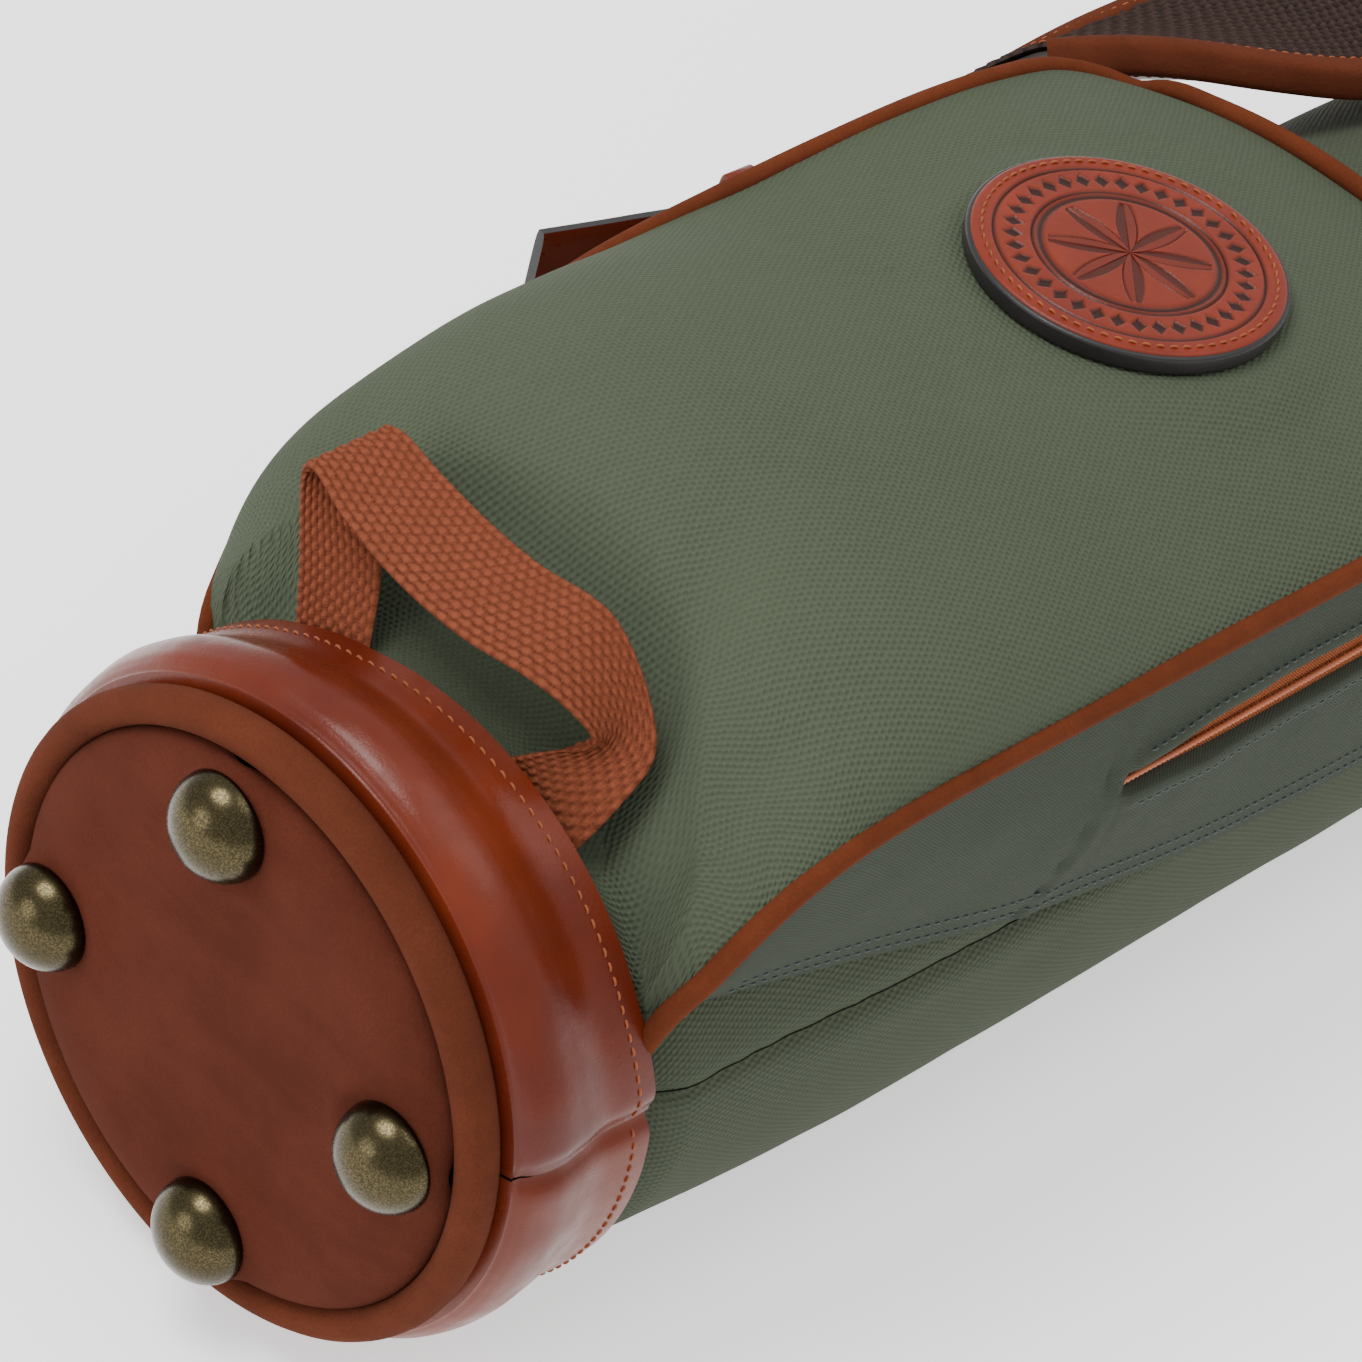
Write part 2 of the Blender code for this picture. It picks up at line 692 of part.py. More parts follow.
def strap_row(row, level=0.0, trim=0.0):
    """Three points across a strap, raised off its middle plane by level."""
    station, y, z, half, tilt = row
    turn = math.radians(tilt)
    wide = Vector((0, -math.cos(turn), math.sin(turn)))
    lift = Vector((0, math.sin(turn), math.cos(turn)))
    centre = Vector((station, y, z)) + lift * level
    return [place(*(centre + wide * (half - trim) * share)) for share in (1.0, 0.0, -1.0)]


def strap_layer(name, table, thickness, look, level=0.0, trim=0.0, count=9):
    stations = np.linspace(table[0][0], table[-1][0], count)
    rows = [strap_row((station, *through(table, station)), level, trim) for station in stations]
    return sheet(name, rows, thickness, look, offset=0.0)


def build_strap():
    strap_layer("strap_pad", STRAP, 0.0060, FOAM, 0.0, STRAP_EDGE, 15)
    strap_layer("strap_mesh", STRAP, 0.0012, STRAP_MESH, 0.0046, STRAP_EDGE, 15)
    strap_layer("strap_outer", STRAP, 0.0016, LEATHER_TAN, -0.0050, STRAP_EDGE, 15)
    for name, side in (("strap_binding_near", 0), ("strap_binding_far", -1)):
        stations = np.linspace(STRAP[0][0], STRAP[-1][0], 15)
        rows = [strap_row((s, *through(STRAP, s)), 0.0, BINDING_RADIUS) for s in stations]
        tube(name, [row[side] for row in rows], BINDING_RADIUS, SUEDE_BROWN)
    strap_layer("strap_upper_tab", UPPER_TAB, 0.0030, LEATHER_TAN)
    billet = strap_layer("strap_billet", BILLET, 0.0030, LEATHER_TAN, count=11)
    slot = block("prong_slot", (0.0210, 0.0200, 0.0046), place(0.2860, 0.1160, 0.0420), None,
                 collection=CUTTERS)
    cut(billet, slot)


def build_buckle():
    strap_layer("buckle_chape", CHAPE, 0.0026, LEATHER_TAN, count=5)
    long, tall = 0.0100, 0.0185
    corners = [
        (-1.0, -0.8), (-0.8, -1.0), (0.8, -1.0), (1.0, -0.8),
        (1.0, 0.8), (0.8, 1.0), (-0.8, 1.0), (-1.0, 0.8),
    ]
    frame = [place(BUCKLE_STATION + long * a, BUCKLE_Y, BUCKLE_Z + tall * b) for a, b in corners]
    tube("buckle_frame", frame, BUCKLE_WIRE, BRASS, closed=True)
    route = [
        (-0.0069, 0.0), (-0.0060, 0.0040), (-0.0036, 0.0078), (0.0000, 0.0098), (0.0120, 0.0092),
    ]
    prong = [place(BUCKLE_STATION + along, BUCKLE_Y + out, BUCKLE_Z) for along, out in route]
    tube("buckle_prong", prong, PRONG_WIRE, BRASS)
    centre = place(0.2640, 0.1147, 0.0354)
    keeper = block("strap_keeper", (0.0100, 0.0162, 0.0374), centre, LEATHER_TAN, rounding=0.0012)
    hollow = block("keeper_hollow", (0.0200, 0.0126, 0.0338), centre, None, collection=CUTTERS)
    cut(keeper, hollow)


def build_strap_hardware():
    for name, station, lean in (("lower", LOWER_ANCHOR, 40.0), ("upper", UPPER_ANCHOR, 60.0)):
        anchor_tab(f"anchor_tab_{name}", station, ANCHOR_ANGLE)
        turn = math.radians(lean)
        toward = Vector((0, math.cos(turn), math.sin(turn)))
        d_ring(f"d_ring_{name}", station, ANCHOR_ANGLE, toward)


# Carry handle on the near upper side, folded down against the canvas

def build_carry_handle():
    for index, station in ((1, CARRY_START), (2, CARRY_END)):
        _, _, side = hinge_frame(station, CARRY_ANGLE)
        anchor_tab(f"carry_tab_{index}", station, CARRY_ANGLE)
        d_ring(f"carry_ring_{index}", station, CARRY_ANGLE, side)
    centre, _, side = hinge_frame((CARRY_START + CARRY_END) / 2.0, CARRY_ANGLE)
    half = (CARRY_END - CARRY_START) / 2.0
    points = []
    for share in np.linspace(-1.0, 1.0, 17):
        drop = CARRY_DROP + CARRY_BOW * math.cos(share * math.pi / 2.0) ** 0.6
        points.append(centre + Vector((half * share, 0, 0)) + side * drop)
    tube("carry_handle_grip", points, GRIP_RADIUS, LEATHER_TAN, sides=3)


build_base()
build_feet()
build_boot()
build_body()
build_pocket()
build_badge()
build_zip()
build_base_handle()
build_mouth()
build_strap()
build_buckle()
build_strap_hardware()
build_carry_handle()
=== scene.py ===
"""The look of a slim golf carry bag that lies on its back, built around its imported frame.

X runs from the base to the mouth and Z is up. Lengths along the bag are measured from the base and
called "station"; y is across the bag, and z is counted from the bag's own axis.
"""
import math

import bpy
import numpy as np
from mathutils import Matrix, Vector, noise


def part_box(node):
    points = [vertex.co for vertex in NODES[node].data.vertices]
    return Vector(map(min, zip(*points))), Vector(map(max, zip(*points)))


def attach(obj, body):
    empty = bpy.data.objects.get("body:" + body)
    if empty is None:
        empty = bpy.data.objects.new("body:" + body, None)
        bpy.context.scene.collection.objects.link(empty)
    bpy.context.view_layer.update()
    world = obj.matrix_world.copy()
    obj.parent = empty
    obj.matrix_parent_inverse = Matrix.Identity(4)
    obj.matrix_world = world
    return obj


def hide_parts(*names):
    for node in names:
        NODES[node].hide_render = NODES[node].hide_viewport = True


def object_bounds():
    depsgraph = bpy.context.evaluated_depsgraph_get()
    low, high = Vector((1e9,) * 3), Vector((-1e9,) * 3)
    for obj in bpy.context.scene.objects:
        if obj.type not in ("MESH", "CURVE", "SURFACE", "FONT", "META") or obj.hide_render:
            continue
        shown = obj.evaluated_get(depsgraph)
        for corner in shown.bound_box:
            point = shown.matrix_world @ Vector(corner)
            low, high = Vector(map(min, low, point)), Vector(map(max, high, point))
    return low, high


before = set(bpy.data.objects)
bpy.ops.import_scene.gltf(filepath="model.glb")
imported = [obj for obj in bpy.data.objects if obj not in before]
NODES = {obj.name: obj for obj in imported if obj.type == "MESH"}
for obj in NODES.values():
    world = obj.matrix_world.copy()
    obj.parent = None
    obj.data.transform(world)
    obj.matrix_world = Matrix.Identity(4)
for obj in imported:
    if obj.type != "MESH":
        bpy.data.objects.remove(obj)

CAD_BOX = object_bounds()
WELT_LOW, WELT_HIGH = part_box("base_welt")
WELT_TUBE = 0.0050
WELT_STATION = 0.0025
BASE_X = WELT_LOW.x + WELT_TUBE - WELT_STATION
AXIS_Z = (WELT_LOW.z + WELT_HIGH.z) / 2.0

BOOT_TOP = 0.0467
BOOT_RADIUS = 0.0799
TUCK_RADIUS = 0.0740
BODY_WIDTH = 0.0855
BODY_HEIGHT = 0.0810
SEAM_ANGLE = 80.0
PIPING_RADIUS = 0.0027
POCKET_END = 0.352
POCKET_CORNER = 0.025
POCKET_HALF = 0.0875
POCKET_FOOT_HALF = 0.0713
NET_PITCH = 0.0031
TAU = 2.0 * math.pi

# Pitch, length and thread radius of each kind of sewing
BOLD_SEWING = (0.0033, 0.0023, 0.00034)
STRAP_SEWING = (0.0033, 0.0023, 0.00032)
BINDING_SEWING = (0.0033, 0.0023, 0.00030)
SEAM_SEWING = (0.0031, 0.0022, 0.00032)
ZIP_SEWING = (0.0031, 0.0022, 0.00030)


# Geometry helpers

def smooth(x):
    """0 below 0, 1 above 1, and an even S between."""
    x = min(max(x, 0.0), 1.0)
    return x * x * (3.0 - 2.0 * x)


def bump_at(x, centre, width):
    """A smooth hump of height 1."""
    return math.exp(-(((x - centre) / width) ** 2))


def through(stations, x):
    """Value at x of the smooth curve through (x, value...) stations."""
    table = np.array(stations, float)
    xs, values = table[:, 0], table[:, 1:]
    slopes = np.gradient(values, xs, axis=0)
    x = min(max(x, xs[0]), xs[-1])
    i = min(max(int(np.searchsorted(xs, x)) - 1, 0), len(xs) - 2)
    step = xs[i + 1] - xs[i]
    t = (x - xs[i]) / step
    found = (
        (1 + 2 * t) * (1 - t) ** 2 * values[i]
        + t * (1 - t) ** 2 * step * slopes[i]
        + t * t * (3 - 2 * t) * values[i + 1]
        + t * t * (t - 1) * step * slopes[i + 1]
    )
    return found if len(found) > 1 else float(found[0])


def squared(value, power):
    """A sine or cosine flattened towards a square."""
    return math.copysign(abs(value) ** power, value)


def polar(radius, turn):
    """(y, z) at a radius, turned from the top towards -Y."""
    return -radius * math.sin(turn), radius * math.cos(turn)


# Degrees from the top towards -Y, and the share of the full sag there
RIM_SAG = (
    (-180, 0.0), (-90, 0.0), (-74, 0.1), (-58, 0.5), (-45, 0.85), (-30, 1.0), (-13, 1.0), (5, 0.8),
    (22, 0.66), (42, 0.5), (60, 0.33), (75, 0.12), (90, 0.05), (110, 0.0), (180, 0.0),
)
SAG_ANGLES, SAG_SHARES = zip(*RIM_SAG)
SAG_START = 0.014
SAG_END = 0.080
SAG_BLEND = 0.030
SAG_OUTSIDE = 0.094
SAG_INWARD = 0.0036
SAG_ALONG = 0.0075


def place(station, y, z):
    """Point at a station, y across the bag and z above its axis; the boot's rim sags at the top."""
    out = math.hypot(y, z)
    near = smooth((station - SAG_START) / SAG_BLEND) * smooth((SAG_END - station) / SAG_BLEND)
    near *= smooth((SAG_OUTSIDE - out) / 0.012)
    if near > 0.0:
        near *= np.interp(math.degrees(math.atan2(-y, z)), SAG_ANGLES, SAG_SHARES)
        shrink = 1.0 - SAG_INWARD * near / out
        y, z = y * shrink, z * shrink
        station -= SAG_ALONG * near
    return (BASE_X + station, y, max(z, -AXIS_Z) + AXIS_Z)


def ring_path(station, radius, count, endpoint=False):
    """A ring round the bag's axis, and the directions out of it."""
    turns = np.linspace(0.0, TAU, count, endpoint=endpoint)
    return [place(station, *polar(radius, t)) for t in turns], [(0.0, *polar(1.0, t)) for t in turns]


def resample(points, count, closed=False):
    """A smooth curve through points, as evenly spaced ones."""
    points = np.array(points, float)
    if closed:
        points = np.vstack([points, points[:1]])
    gaps = np.linalg.norm(np.diff(points, axis=0), axis=1)
    at = np.concatenate([[0.0], np.cumsum(gaps)])
    table = [(a, *p) for a, p in zip(at, points)]
    fine = np.array([through(table, a) for a in np.linspace(0.0, at[-1], count * 3)])
    gaps = np.linalg.norm(np.diff(fine, axis=0), axis=1)
    run = np.concatenate([[0.0], np.cumsum(gaps)])
    even = np.linspace(0.0, run[-1], count + 1 if closed else count)
    if closed:
        even = even[:-1]
    return np.stack([np.interp(even, run, fine[:, k]) for k in range(3)], axis=1)


def unit(vectors):
    return vectors / np.maximum(np.linalg.norm(vectors, axis=-1, keepdims=True), 1e-12)


def ripple(point, scale, seed=0.0):
    """Smooth noise from -1 to 1 at a point."""
    return noise.noise(Vector(point) * scale + Vector((seed, seed * 1.7, -seed)))


# Piece helpers

def mesh_piece(name, points, faces, looks, body, uvs=None, replaces=(), values=None,
               face_looks=None, sharp=50.0):
    """One piece of the visual model, from its points and faces."""
    mesh = bpy.data.meshes.new(name)
    mesh.from_pydata([tuple(p) for p in points], [], faces)
    mesh.validate()
    thing = bpy.data.objects.new(name, mesh)
    bpy.context.scene.collection.objects.link(thing)
    for look in looks if isinstance(looks, (list, tuple)) else [looks]:
        mesh.materials.append(look)
    if uvs is not None:
        corners = np.zeros(len(mesh.loops), np.int32)
        mesh.loops.foreach_get("vertex_index", corners)
        layer = mesh.uv_layers.new(name="metres")
        layer.data.foreach_set("uv", np.asarray(uvs, np.float32)[corners].ravel())
    # Values become the depth attribute: each point's share of painted shade in hollows.
    if values is not None:
        layer = mesh.attributes.new("depth", "FLOAT", "POINT")
        layer.data.foreach_set("value", np.asarray(values, np.float32))
    if face_looks is not None:
        mesh.polygons.foreach_set("material_index", np.asarray(face_looks, np.int32))
    mesh.shade_smooth()
    mesh.set_sharp_from_angle(angle=math.radians(sharp))
    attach(thing, body)
    if replaces:
        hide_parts(*replaces)
    return thing


def grid_normals(grid, wrap=False):
    along = np.gradient(grid, axis=0)
    if wrap:
        across = (np.roll(grid, -1, axis=1) - np.roll(grid, 1, axis=1)) / 2.0
    else:
        across = np.gradient(grid, axis=1)
    return unit(np.cross(along, across))


def grid_uvs(grid):
    """Lengths along and across a grid of points, in metres."""
    n, m = grid.shape[:2]
    along = np.linalg.norm(np.diff(grid, axis=0), axis=2).mean(axis=1)
    u = np.concatenate([[0.0], np.cumsum(along)])
    across = np.linalg.norm(np.diff(grid, axis=1), axis=2)
    v = np.concatenate([np.zeros((n, 1)), np.cumsum(across, axis=1)], axis=1)
    v -= v[:, m // 2][:, None]
    return np.stack([np.repeat(u[:, None], m, axis=1), v], axis=2)


def shell(name, grid, outer, inner, looks, body, replaces=(), flip=False, values=None):
    """A sheet with a thickness: a grid of points, pushed out and in along its normals."""
    grid = np.asarray(grid, float)
    n, m = grid.shape[:2]
    normals = grid_normals(grid) * (-1.0 if flip else 1.0)
    outer = np.broadcast_to(outer, (n, m))[..., None]
    inner = np.broadcast_to(inner, (n, m))[..., None]
    points = np.concatenate([
        (grid + normals * outer).reshape(-1, 3),
        (grid - normals * inner).reshape(-1, 3),
    ])
    uvs = np.tile(grid_uvs(grid).reshape(-1, 2), (2, 1))
    low = n * m
    faces, which = [], []
    for i in range(n - 1):
        for j in range(m - 1):
            a = i * m + j
            quad = (a, a + m, a + m + 1, a + 1)
            faces.append(quad)
            faces.append(tuple(low + k for k in reversed(quad)))
            which += [0, 0]
    rim = [i * m for i in range(n)] + [(n - 1) * m + j for j in range(1, m)]
    rim += [i * m + m - 1 for i in range(n - 2, -1, -1)] + list(range(m - 2, 0, -1))
    for a, b in zip(rim, rim[1:] + rim[:1]):
        faces.append((a, low + a, low + b, b))
        which.append(1 if isinstance(looks, (list, tuple)) else 0)
    if flip:
        faces = [tuple(reversed(face)) for face in faces]
    depth = None if values is None else np.tile(np.asarray(values).reshape(-1), 2)
    return mesh_piece(name, points, faces, looks, body, uvs, replaces, depth, which)


def sweep(name, path, section, look, body, closed=False, up=None, replaces=(), size=None):
    """A closed outline of (side, up) offsets carried along a path."""
    path = np.asarray(path, float)
    n, k = len(path), len(section)
    if closed:
        along = unit(np.roll(path, -1, axis=0) - np.roll(path, 1, axis=0))
    else:
        along = unit(np.gradient(path, axis=0))
    if up is None:
        frame_up = np.zeros_like(path)
        start = np.array([0.0, 0.0, 1.0]) if abs(along[0][2]) < 0.9 else np.array([0.0, 1.0, 0.0])
        frame_up[0] = unit(start - along[0] * start.dot(along[0]))
        for i in range(1, n):
            moved = frame_up[i - 1] - along[i] * frame_up[i - 1].dot(along[i])
            frame_up[i] = unit(moved)
    else:
        up = np.broadcast_to(np.asarray(up, float), path.shape)
        frame_up = unit(up - along * (up * along).sum(axis=1, keepdims=True))
    side = np.cross(along, frame_up)
    section = np.asarray(section, float)
    size = np.ones(n) if size is None else np.asarray(size)
    grid = (
        path[:, None]
        + side[:, None] * section[None, :, :1] * size[:, None, None]
        + frame_up[:, None] * section[None, :, 1:] * size[:, None, None]
    )
    points = grid.reshape(-1, 3)
    faces = []
    for i in range(n if closed else n - 1):
        for j in range(k):
            a, b = i * k + j, i * k + (j + 1) % k
            c, d = (i + 1) % n * k + j, (i + 1) % n * k + (j + 1) % k
            faces.append((a, b, d, c))
    if not closed:
        faces.append(tuple(range(k - 1, -1, -1)))
        faces.append(tuple((n - 1) * k + j for j in range(k)))
    run = np.concatenate([[0.0], np.cumsum(np.linalg.norm(np.diff(path, axis=0), axis=1))])
    girth = np.linalg.norm(np.diff(section, axis=0, append=section[:1]), axis=1)
    turn = np.concatenate([[0.0], np.cumsum(girth)])[:-1]
    uvs = np.stack(np.meshgrid(run, turn, indexing="ij"), axis=2).reshape(-1, 2)
    return mesh_piece(name, points, faces, look, body, uvs, replaces)


def circle(radius, count=14, squash=1.0):
    return [(radius * math.cos(TAU * i / count), squash * radius * math.sin(TAU * i / count))
            for i in range(count)]


def lathe(name, profile, look, body, centre, axis="x", steps=128, replaces=(), relief=None):
    """A profile of (radius, height) turned about an axis through a centre; relief lifts the points and gives
    each one a share of painted shade.
    """
    profile = np.asarray(profile, float)
    k = len(profile)
    turns = np.arange(steps) * TAU / steps
    radius, height = profile[:, 0], profile[:, 1]
    points, values = [], []
    for turn in turns:
        for r, h in zip(radius, height):
            lift, depth = relief(r, turn) if relief else (0.0, 0.0)
            values.append(depth)
            if axis == "x":
                points.append((h + lift, *polar(r, turn)))
            else:
                points.append((r * math.cos(turn), r * math.sin(turn), h + lift))
    points = np.array(points) + np.array(centre)
    faces = []
    for i in range(steps):
        for j in range(k - 1):
            a, c = i * k + j, (i + 1) % steps * k + j
            b, d = a + 1, c + 1
            faces.append((a, c, d, b) if axis == "z" else (a, b, d, c))
    length = np.concatenate([[0.0], np.cumsum(np.linalg.norm(np.diff(profile, axis=0), axis=1))])
    mean = max(float(radius.max()), 1e-4)
    uvs = [(turn * mean, run) for turn in turns for run in length]
    made = mesh_piece(name, points, faces, look, body, uvs, replaces, values, sharp=35.0)
    weld = made.modifiers.new("centre", "WELD")
    weld.merge_threshold = 0.000002
    return made


def stitches(name, path, out, sewing, look, body, lean=0.0):
    """A row of sewn stitches along a path, each a short bowed thread that dips into the cloth."""
    pitch, length, radius = sewing
    path = np.asarray(path, float)
    out = unit(np.broadcast_to(np.asarray(out, float), path.shape))
    run = np.concatenate([[0.0], np.cumsum(np.linalg.norm(np.diff(path, axis=0), axis=1))])
    spots = np.arange(pitch / 2.0, run[-1], pitch)
    rise = (-0.9, 0.35, 0.7, 0.35, -0.9)
    thick = (0.55, 0.95, 1.0, 0.95, 0.55)
    sides = 6
    points, faces = [], []
    for spot in spots:
        first = len(points)
        for share, up, fat in zip((-0.5, -0.3, 0.0, 0.3, 0.5), rise, thick):
            at = spot + share * length
            centre = np.array([np.interp(at, run, path[:, c]) for c in range(3)])
            lift = unit(np.array([np.interp(spot, run, out[:, c]) for c in range(3)]))
            ahead = np.array([np.interp(spot + length / 2, run, path[:, c]) for c in range(3)])
            back = np.array([np.interp(spot - length / 2, run, path[:, c]) for c in range(3)])
            along = unit(ahead - back)
            side = np.cross(along, lift)
            centre = centre + lift * up * radius + side * lean * share * length
            for turn in range(sides):
                angle = TAU * turn / sides
                points.append(centre + radius * fat * (side * math.cos(angle) + lift * math.sin(angle)))
        for ring in range(4):
            for turn in range(sides):
                a = first + ring * sides + turn
                b = first + ring * sides + (turn + 1) % sides
                faces.append((a, a + sides, b + sides, b))
        faces.append(tuple(first + turn for turn in range(sides)))
        faces.append(tuple(first + 4 * sides + turn for turn in reversed(range(sides))))
    return mesh_piece(name, points, faces, look, body, sharp=80.0)


# Materials

class Look:
    """A Principled material, and short names for the nodes that feed it."""

    def __init__(self, name, color, roughness, **sockets):
        self.material = bpy.data.materials.new(name)
        self.material.use_nodes = True
        self.tree = self.material.node_tree
        self.shader = self.tree.nodes["Principled BSDF"]
        self.set("Base Color", (*color, 1.0))
        self.set("Roughness", roughness)
        self.set("Specular IOR Level", 0.3)
        for key, value in sockets.items():
            self.set(key.replace("_", " ").title().replace("Ior", "IOR"), value)
        self.material.diffuse_color = (*color, 1.0)

    def set(self, key, value):
        self.wire(value, self.shader.inputs[key])

    def wire(self, value, socket):
        if isinstance(value, bpy.types.NodeSocket):
            self.tree.links.new(value, socket)
        else:
            socket.default_value = value

    def add(self, kind, inputs, **settings):
        node = self.tree.nodes.new("ShaderNode" + kind)
        for key, value in settings.items():
            setattr(node, key, value)
        for key, value in inputs.items():
            self.wire(value, node.inputs[key])
        return node

    def coords(self, kind="UV", stretch=(1.0, 1.0, 1.0)):
        found = self.add("TexCoord", {}).outputs[kind]
        return self.add("Mapping", {"Vector": found, "Scale": stretch}).outputs[0]

    def math(self, operation, a, b=0.0):
        return self.add("Math", {0: a, 1: b}, operation=operation).outputs[0]

    def noise(self, vector, scale, detail=2.0, roughness=0.5):
        return self.add("TexNoise", {
            "Vector": vector, "Scale": scale, "Detail": detail, "Roughness": roughness,
        }).outputs["Fac"]

    def ramp(self, value, low, high, start=0.0, end=1.0):
        """The value carried from low..high to start..end."""
        return self.add("MapRange", {
            "Value": value, "From Min": low, "From Max": high, "To Min": start, "To Max": end,
        }).outputs[0]

    def mix(self, share, a, b):
        node = self.add("Mix", {}, data_type="RGBA")
        self.wire(share, node.inputs[0])
        self.wire(a if isinstance(a, bpy.types.NodeSocket) else (*a, 1.0), node.inputs[6])
        self.wire(b if isinstance(b, bpy.types.NodeSocket) else (*b, 1.0), node.inputs[7])
        return node.outputs[2]

    def attribute(self, name):
        return self.add("Attribute", {}, attribute_name=name).outputs["Fac"]

    def bumps(self, *layers):
        """Layers of (height, distance in metres), laid over each other as the normal."""
        normal = None
        for height, distance in layers:
            node = self.add("Bump", {"Height": height, "Distance": distance, "Strength": 1.0})
            if normal:
                self.tree.links.new(normal, node.inputs["Normal"])
            normal = node.outputs[0]
        self.set("Normal", normal)

    def wave(self, vector, axis, pitch):
        """A sine along one axis of the surface, one cycle each pitch."""
        at = self.add("SeparateXYZ", {"Vector": vector}).outputs[axis]
        return self.math("SINE", self.math("MULTIPLY", at, TAU / pitch))


def scaled(color, factor):
    return tuple(c * factor for c in color)


def canvas(name, color, pitch=(0.0029, 0.00172), rib=0.35, depth=0.00017, kind="UV", axes=(0, 1)):
    """Plain-woven cotton: thread tops lighter, and slow fading over the cloth."""
    look = Look(name, color, 0.9, specular_ior_level=0.08)
    base = look.coords(kind)
    wander = look.add("TexNoise", {"Vector": base, "Scale": 260.0, "Detail": 1.0}).outputs["Color"]
    moved = look.add("VectorMath", {0: wander, 1: (0.5, 0.5, 0.5)}, operation="SUBTRACT").outputs[0]
    moved = look.add("VectorMath", {0: moved, "Scale": 0.0007}, operation="SCALE").outputs[0]
    at = look.add("VectorMath", {0: base, 1: moved}, operation="ADD").outputs[0]
    weft = look.wave(at, axes[0], pitch[0])
    warp = look.wave(at, axes[1], pitch[1])
    rows = look.wave(at, axes[0], pitch[0] / 2.0)
    height = look.math("ADD", look.math("MULTIPLY", weft, warp), look.math("MULTIPLY", rows, rib))
    tops = look.ramp(height, -0.9, 0.9)
    slubs = look.noise(look.coords(kind, (0.12, 1.0, 1.0)), 900.0, 2.0)
    fade = look.noise(look.coords("Object"), 14.0, 3.0, 0.6)
    threads = look.mix(tops, scaled(color, 0.84), scaled(color, 1.12))
    threads = look.mix(look.ramp(slubs, 0.35, 0.75, 0.0, 0.3), threads, scaled(color, 1.25))
    faded = look.mix(look.ramp(fade, 0.35, 0.7, 0.0, 0.4), threads, scaled(color, 1.15))
    look.set("Base Color", faded)
    look.set("Roughness", look.ramp(tops, 0.0, 1.0, 0.92, 0.74))
    fuzz = look.noise(base, 2600.0, 2.0)
    look.bumps((height, depth), (fuzz, 0.00008))
    return look.material


def leather(name, color, light, gloss=0.34, grain=0.00004):
    """Smooth pull-up leather: fine pores, slow tone changes, gloss that wanders a little."""
    look = Look(name, color, gloss, specular_ior_level=0.22)
    at = look.coords("Object")
    tone = look.noise(at, 22.0, 3.0, 0.55)
    fine = look.noise(at, 160.0, 3.0, 0.6)
    mixed = look.mix(look.ramp(tone, 0.35, 0.72), color, light)
    mixed = look.mix(look.ramp(fine, 0.45, 0.8, 0.0, 0.15), mixed, scaled(color, 0.65))
    look.set("Base Color", mixed)
    look.set("Roughness", look.ramp(fine, 0.3, 0.75, gloss - 0.05, gloss + 0.10))
    pores = look.noise(at, 1500.0, 2.0, 0.6)
    creases = look.noise(at, 260.0, 3.0, 0.5)
    look.bumps((creases, grain * 1.6), (pores, grain))
    return look.material


def suede(name, color):
    """Brushed nap: soft patches where it lies one way or the other, and a short fuzz."""
    look = Look(name, color, 0.95, specular_ior_level=0.05)
    at = look.coords("Object")
    patches = look.noise(at, 30.0, 4.0, 0.6)
    nap = look.noise(at, 1500.0, 3.0, 0.7)
    strokes = look.noise(look.coords("Object", (1.0, 0.25, 1.0)), 140.0, 3.0, 0.6)
    tone = look.mix(look.ramp(patches, 0.3, 0.7), scaled(color, 0.8), scaled(color, 1.2))
    tone = look.mix(look.ramp(strokes, 0.4, 0.75, 0.0, 0.35), tone, scaled(color, 1.4))
    tone = look.mix(look.ramp(nap, 0.35, 0.65, 0.0, 0.4), tone, scaled(color, 0.62))
    look.set("Base Color", tone)
    look.bumps((nap, 0.00022))
    return look.material


def antique_brass(name):
    """Dark plating rubbed through to pale gold in a fine speckle."""
    look = Look(name, (0.2, 0.16, 0.08), 0.3, metallic=1.0)
    at = look.coords("Object")
    speckle = look.noise(at, 2300.0, 2.0, 0.6)
    cloud = look.noise(at, 120.0, 2.0)
    tone = look.mix(look.ramp(speckle, 0.42, 0.70), (0.036, 0.030, 0.016), (0.105, 0.082, 0.038))
    tone = look.mix(look.ramp(cloud, 0.4, 0.75, 0.0, 0.5), tone, (0.048, 0.040, 0.022))
    look.set("Base Color", tone)
    look.set("Roughness", look.ramp(speckle, 0.35, 0.7, 0.30, 0.20))
    look.bumps((speckle, 0.00001))
    return look.material


def webbing(name, color):
    """Coarse cotton webbing: its ribs are in the mesh, the yarn's twist is here, and the hollows between
    yarns are darkened as painted shade.
    """
    look = Look(name, color, 0.95, specular_ior_level=0.05)
    deep = look.attribute("depth")
    at = look.coords("UV")
    strands = look.noise(look.coords("UV", (1.0, 0.35, 1.0)), 2400.0, 3.0, 0.7)
    # painted shade: the colour falls to under half where the yarn dips
    tone = look.mix(deep, scaled(color, 1.18), scaled(color, 0.45))
    tone = look.mix(look.ramp(strands, 0.45, 0.75, 0.0, 0.55), tone, scaled(color, 1.7))
    patches = look.noise(at, 120.0, 2.0)
    tone = look.mix(look.ramp(patches, 0.4, 0.7, 0.0, 0.3), tone, scaled(color, 0.8))
    look.set("Base Color", tone)
    look.bumps((strands, 0.00025))
    return look.material


def twill(name, color, pitch=0.0009):
    """Tape woven on the slant."""
    look = Look(name, color, 0.8, specular_ior_level=0.1)
    at = look.coords("UV")
    parts = look.add("SeparateXYZ", {"Vector": at})
    slant = look.math("ADD", parts.outputs[0], parts.outputs[1])
    lines = look.math("SINE", look.math("MULTIPLY", slant, TAU / pitch))
    cross = look.wave(at, 0, pitch * 0.8)
    height = look.math("ADD", lines, look.math("MULTIPLY", cross, 0.5))
    look.set("Base Color", look.mix(look.ramp(height, -1.2, 1.2), scaled(color, 0.65), scaled(color, 1.2)))
    look.bumps((height, 0.00015))
    return look.material


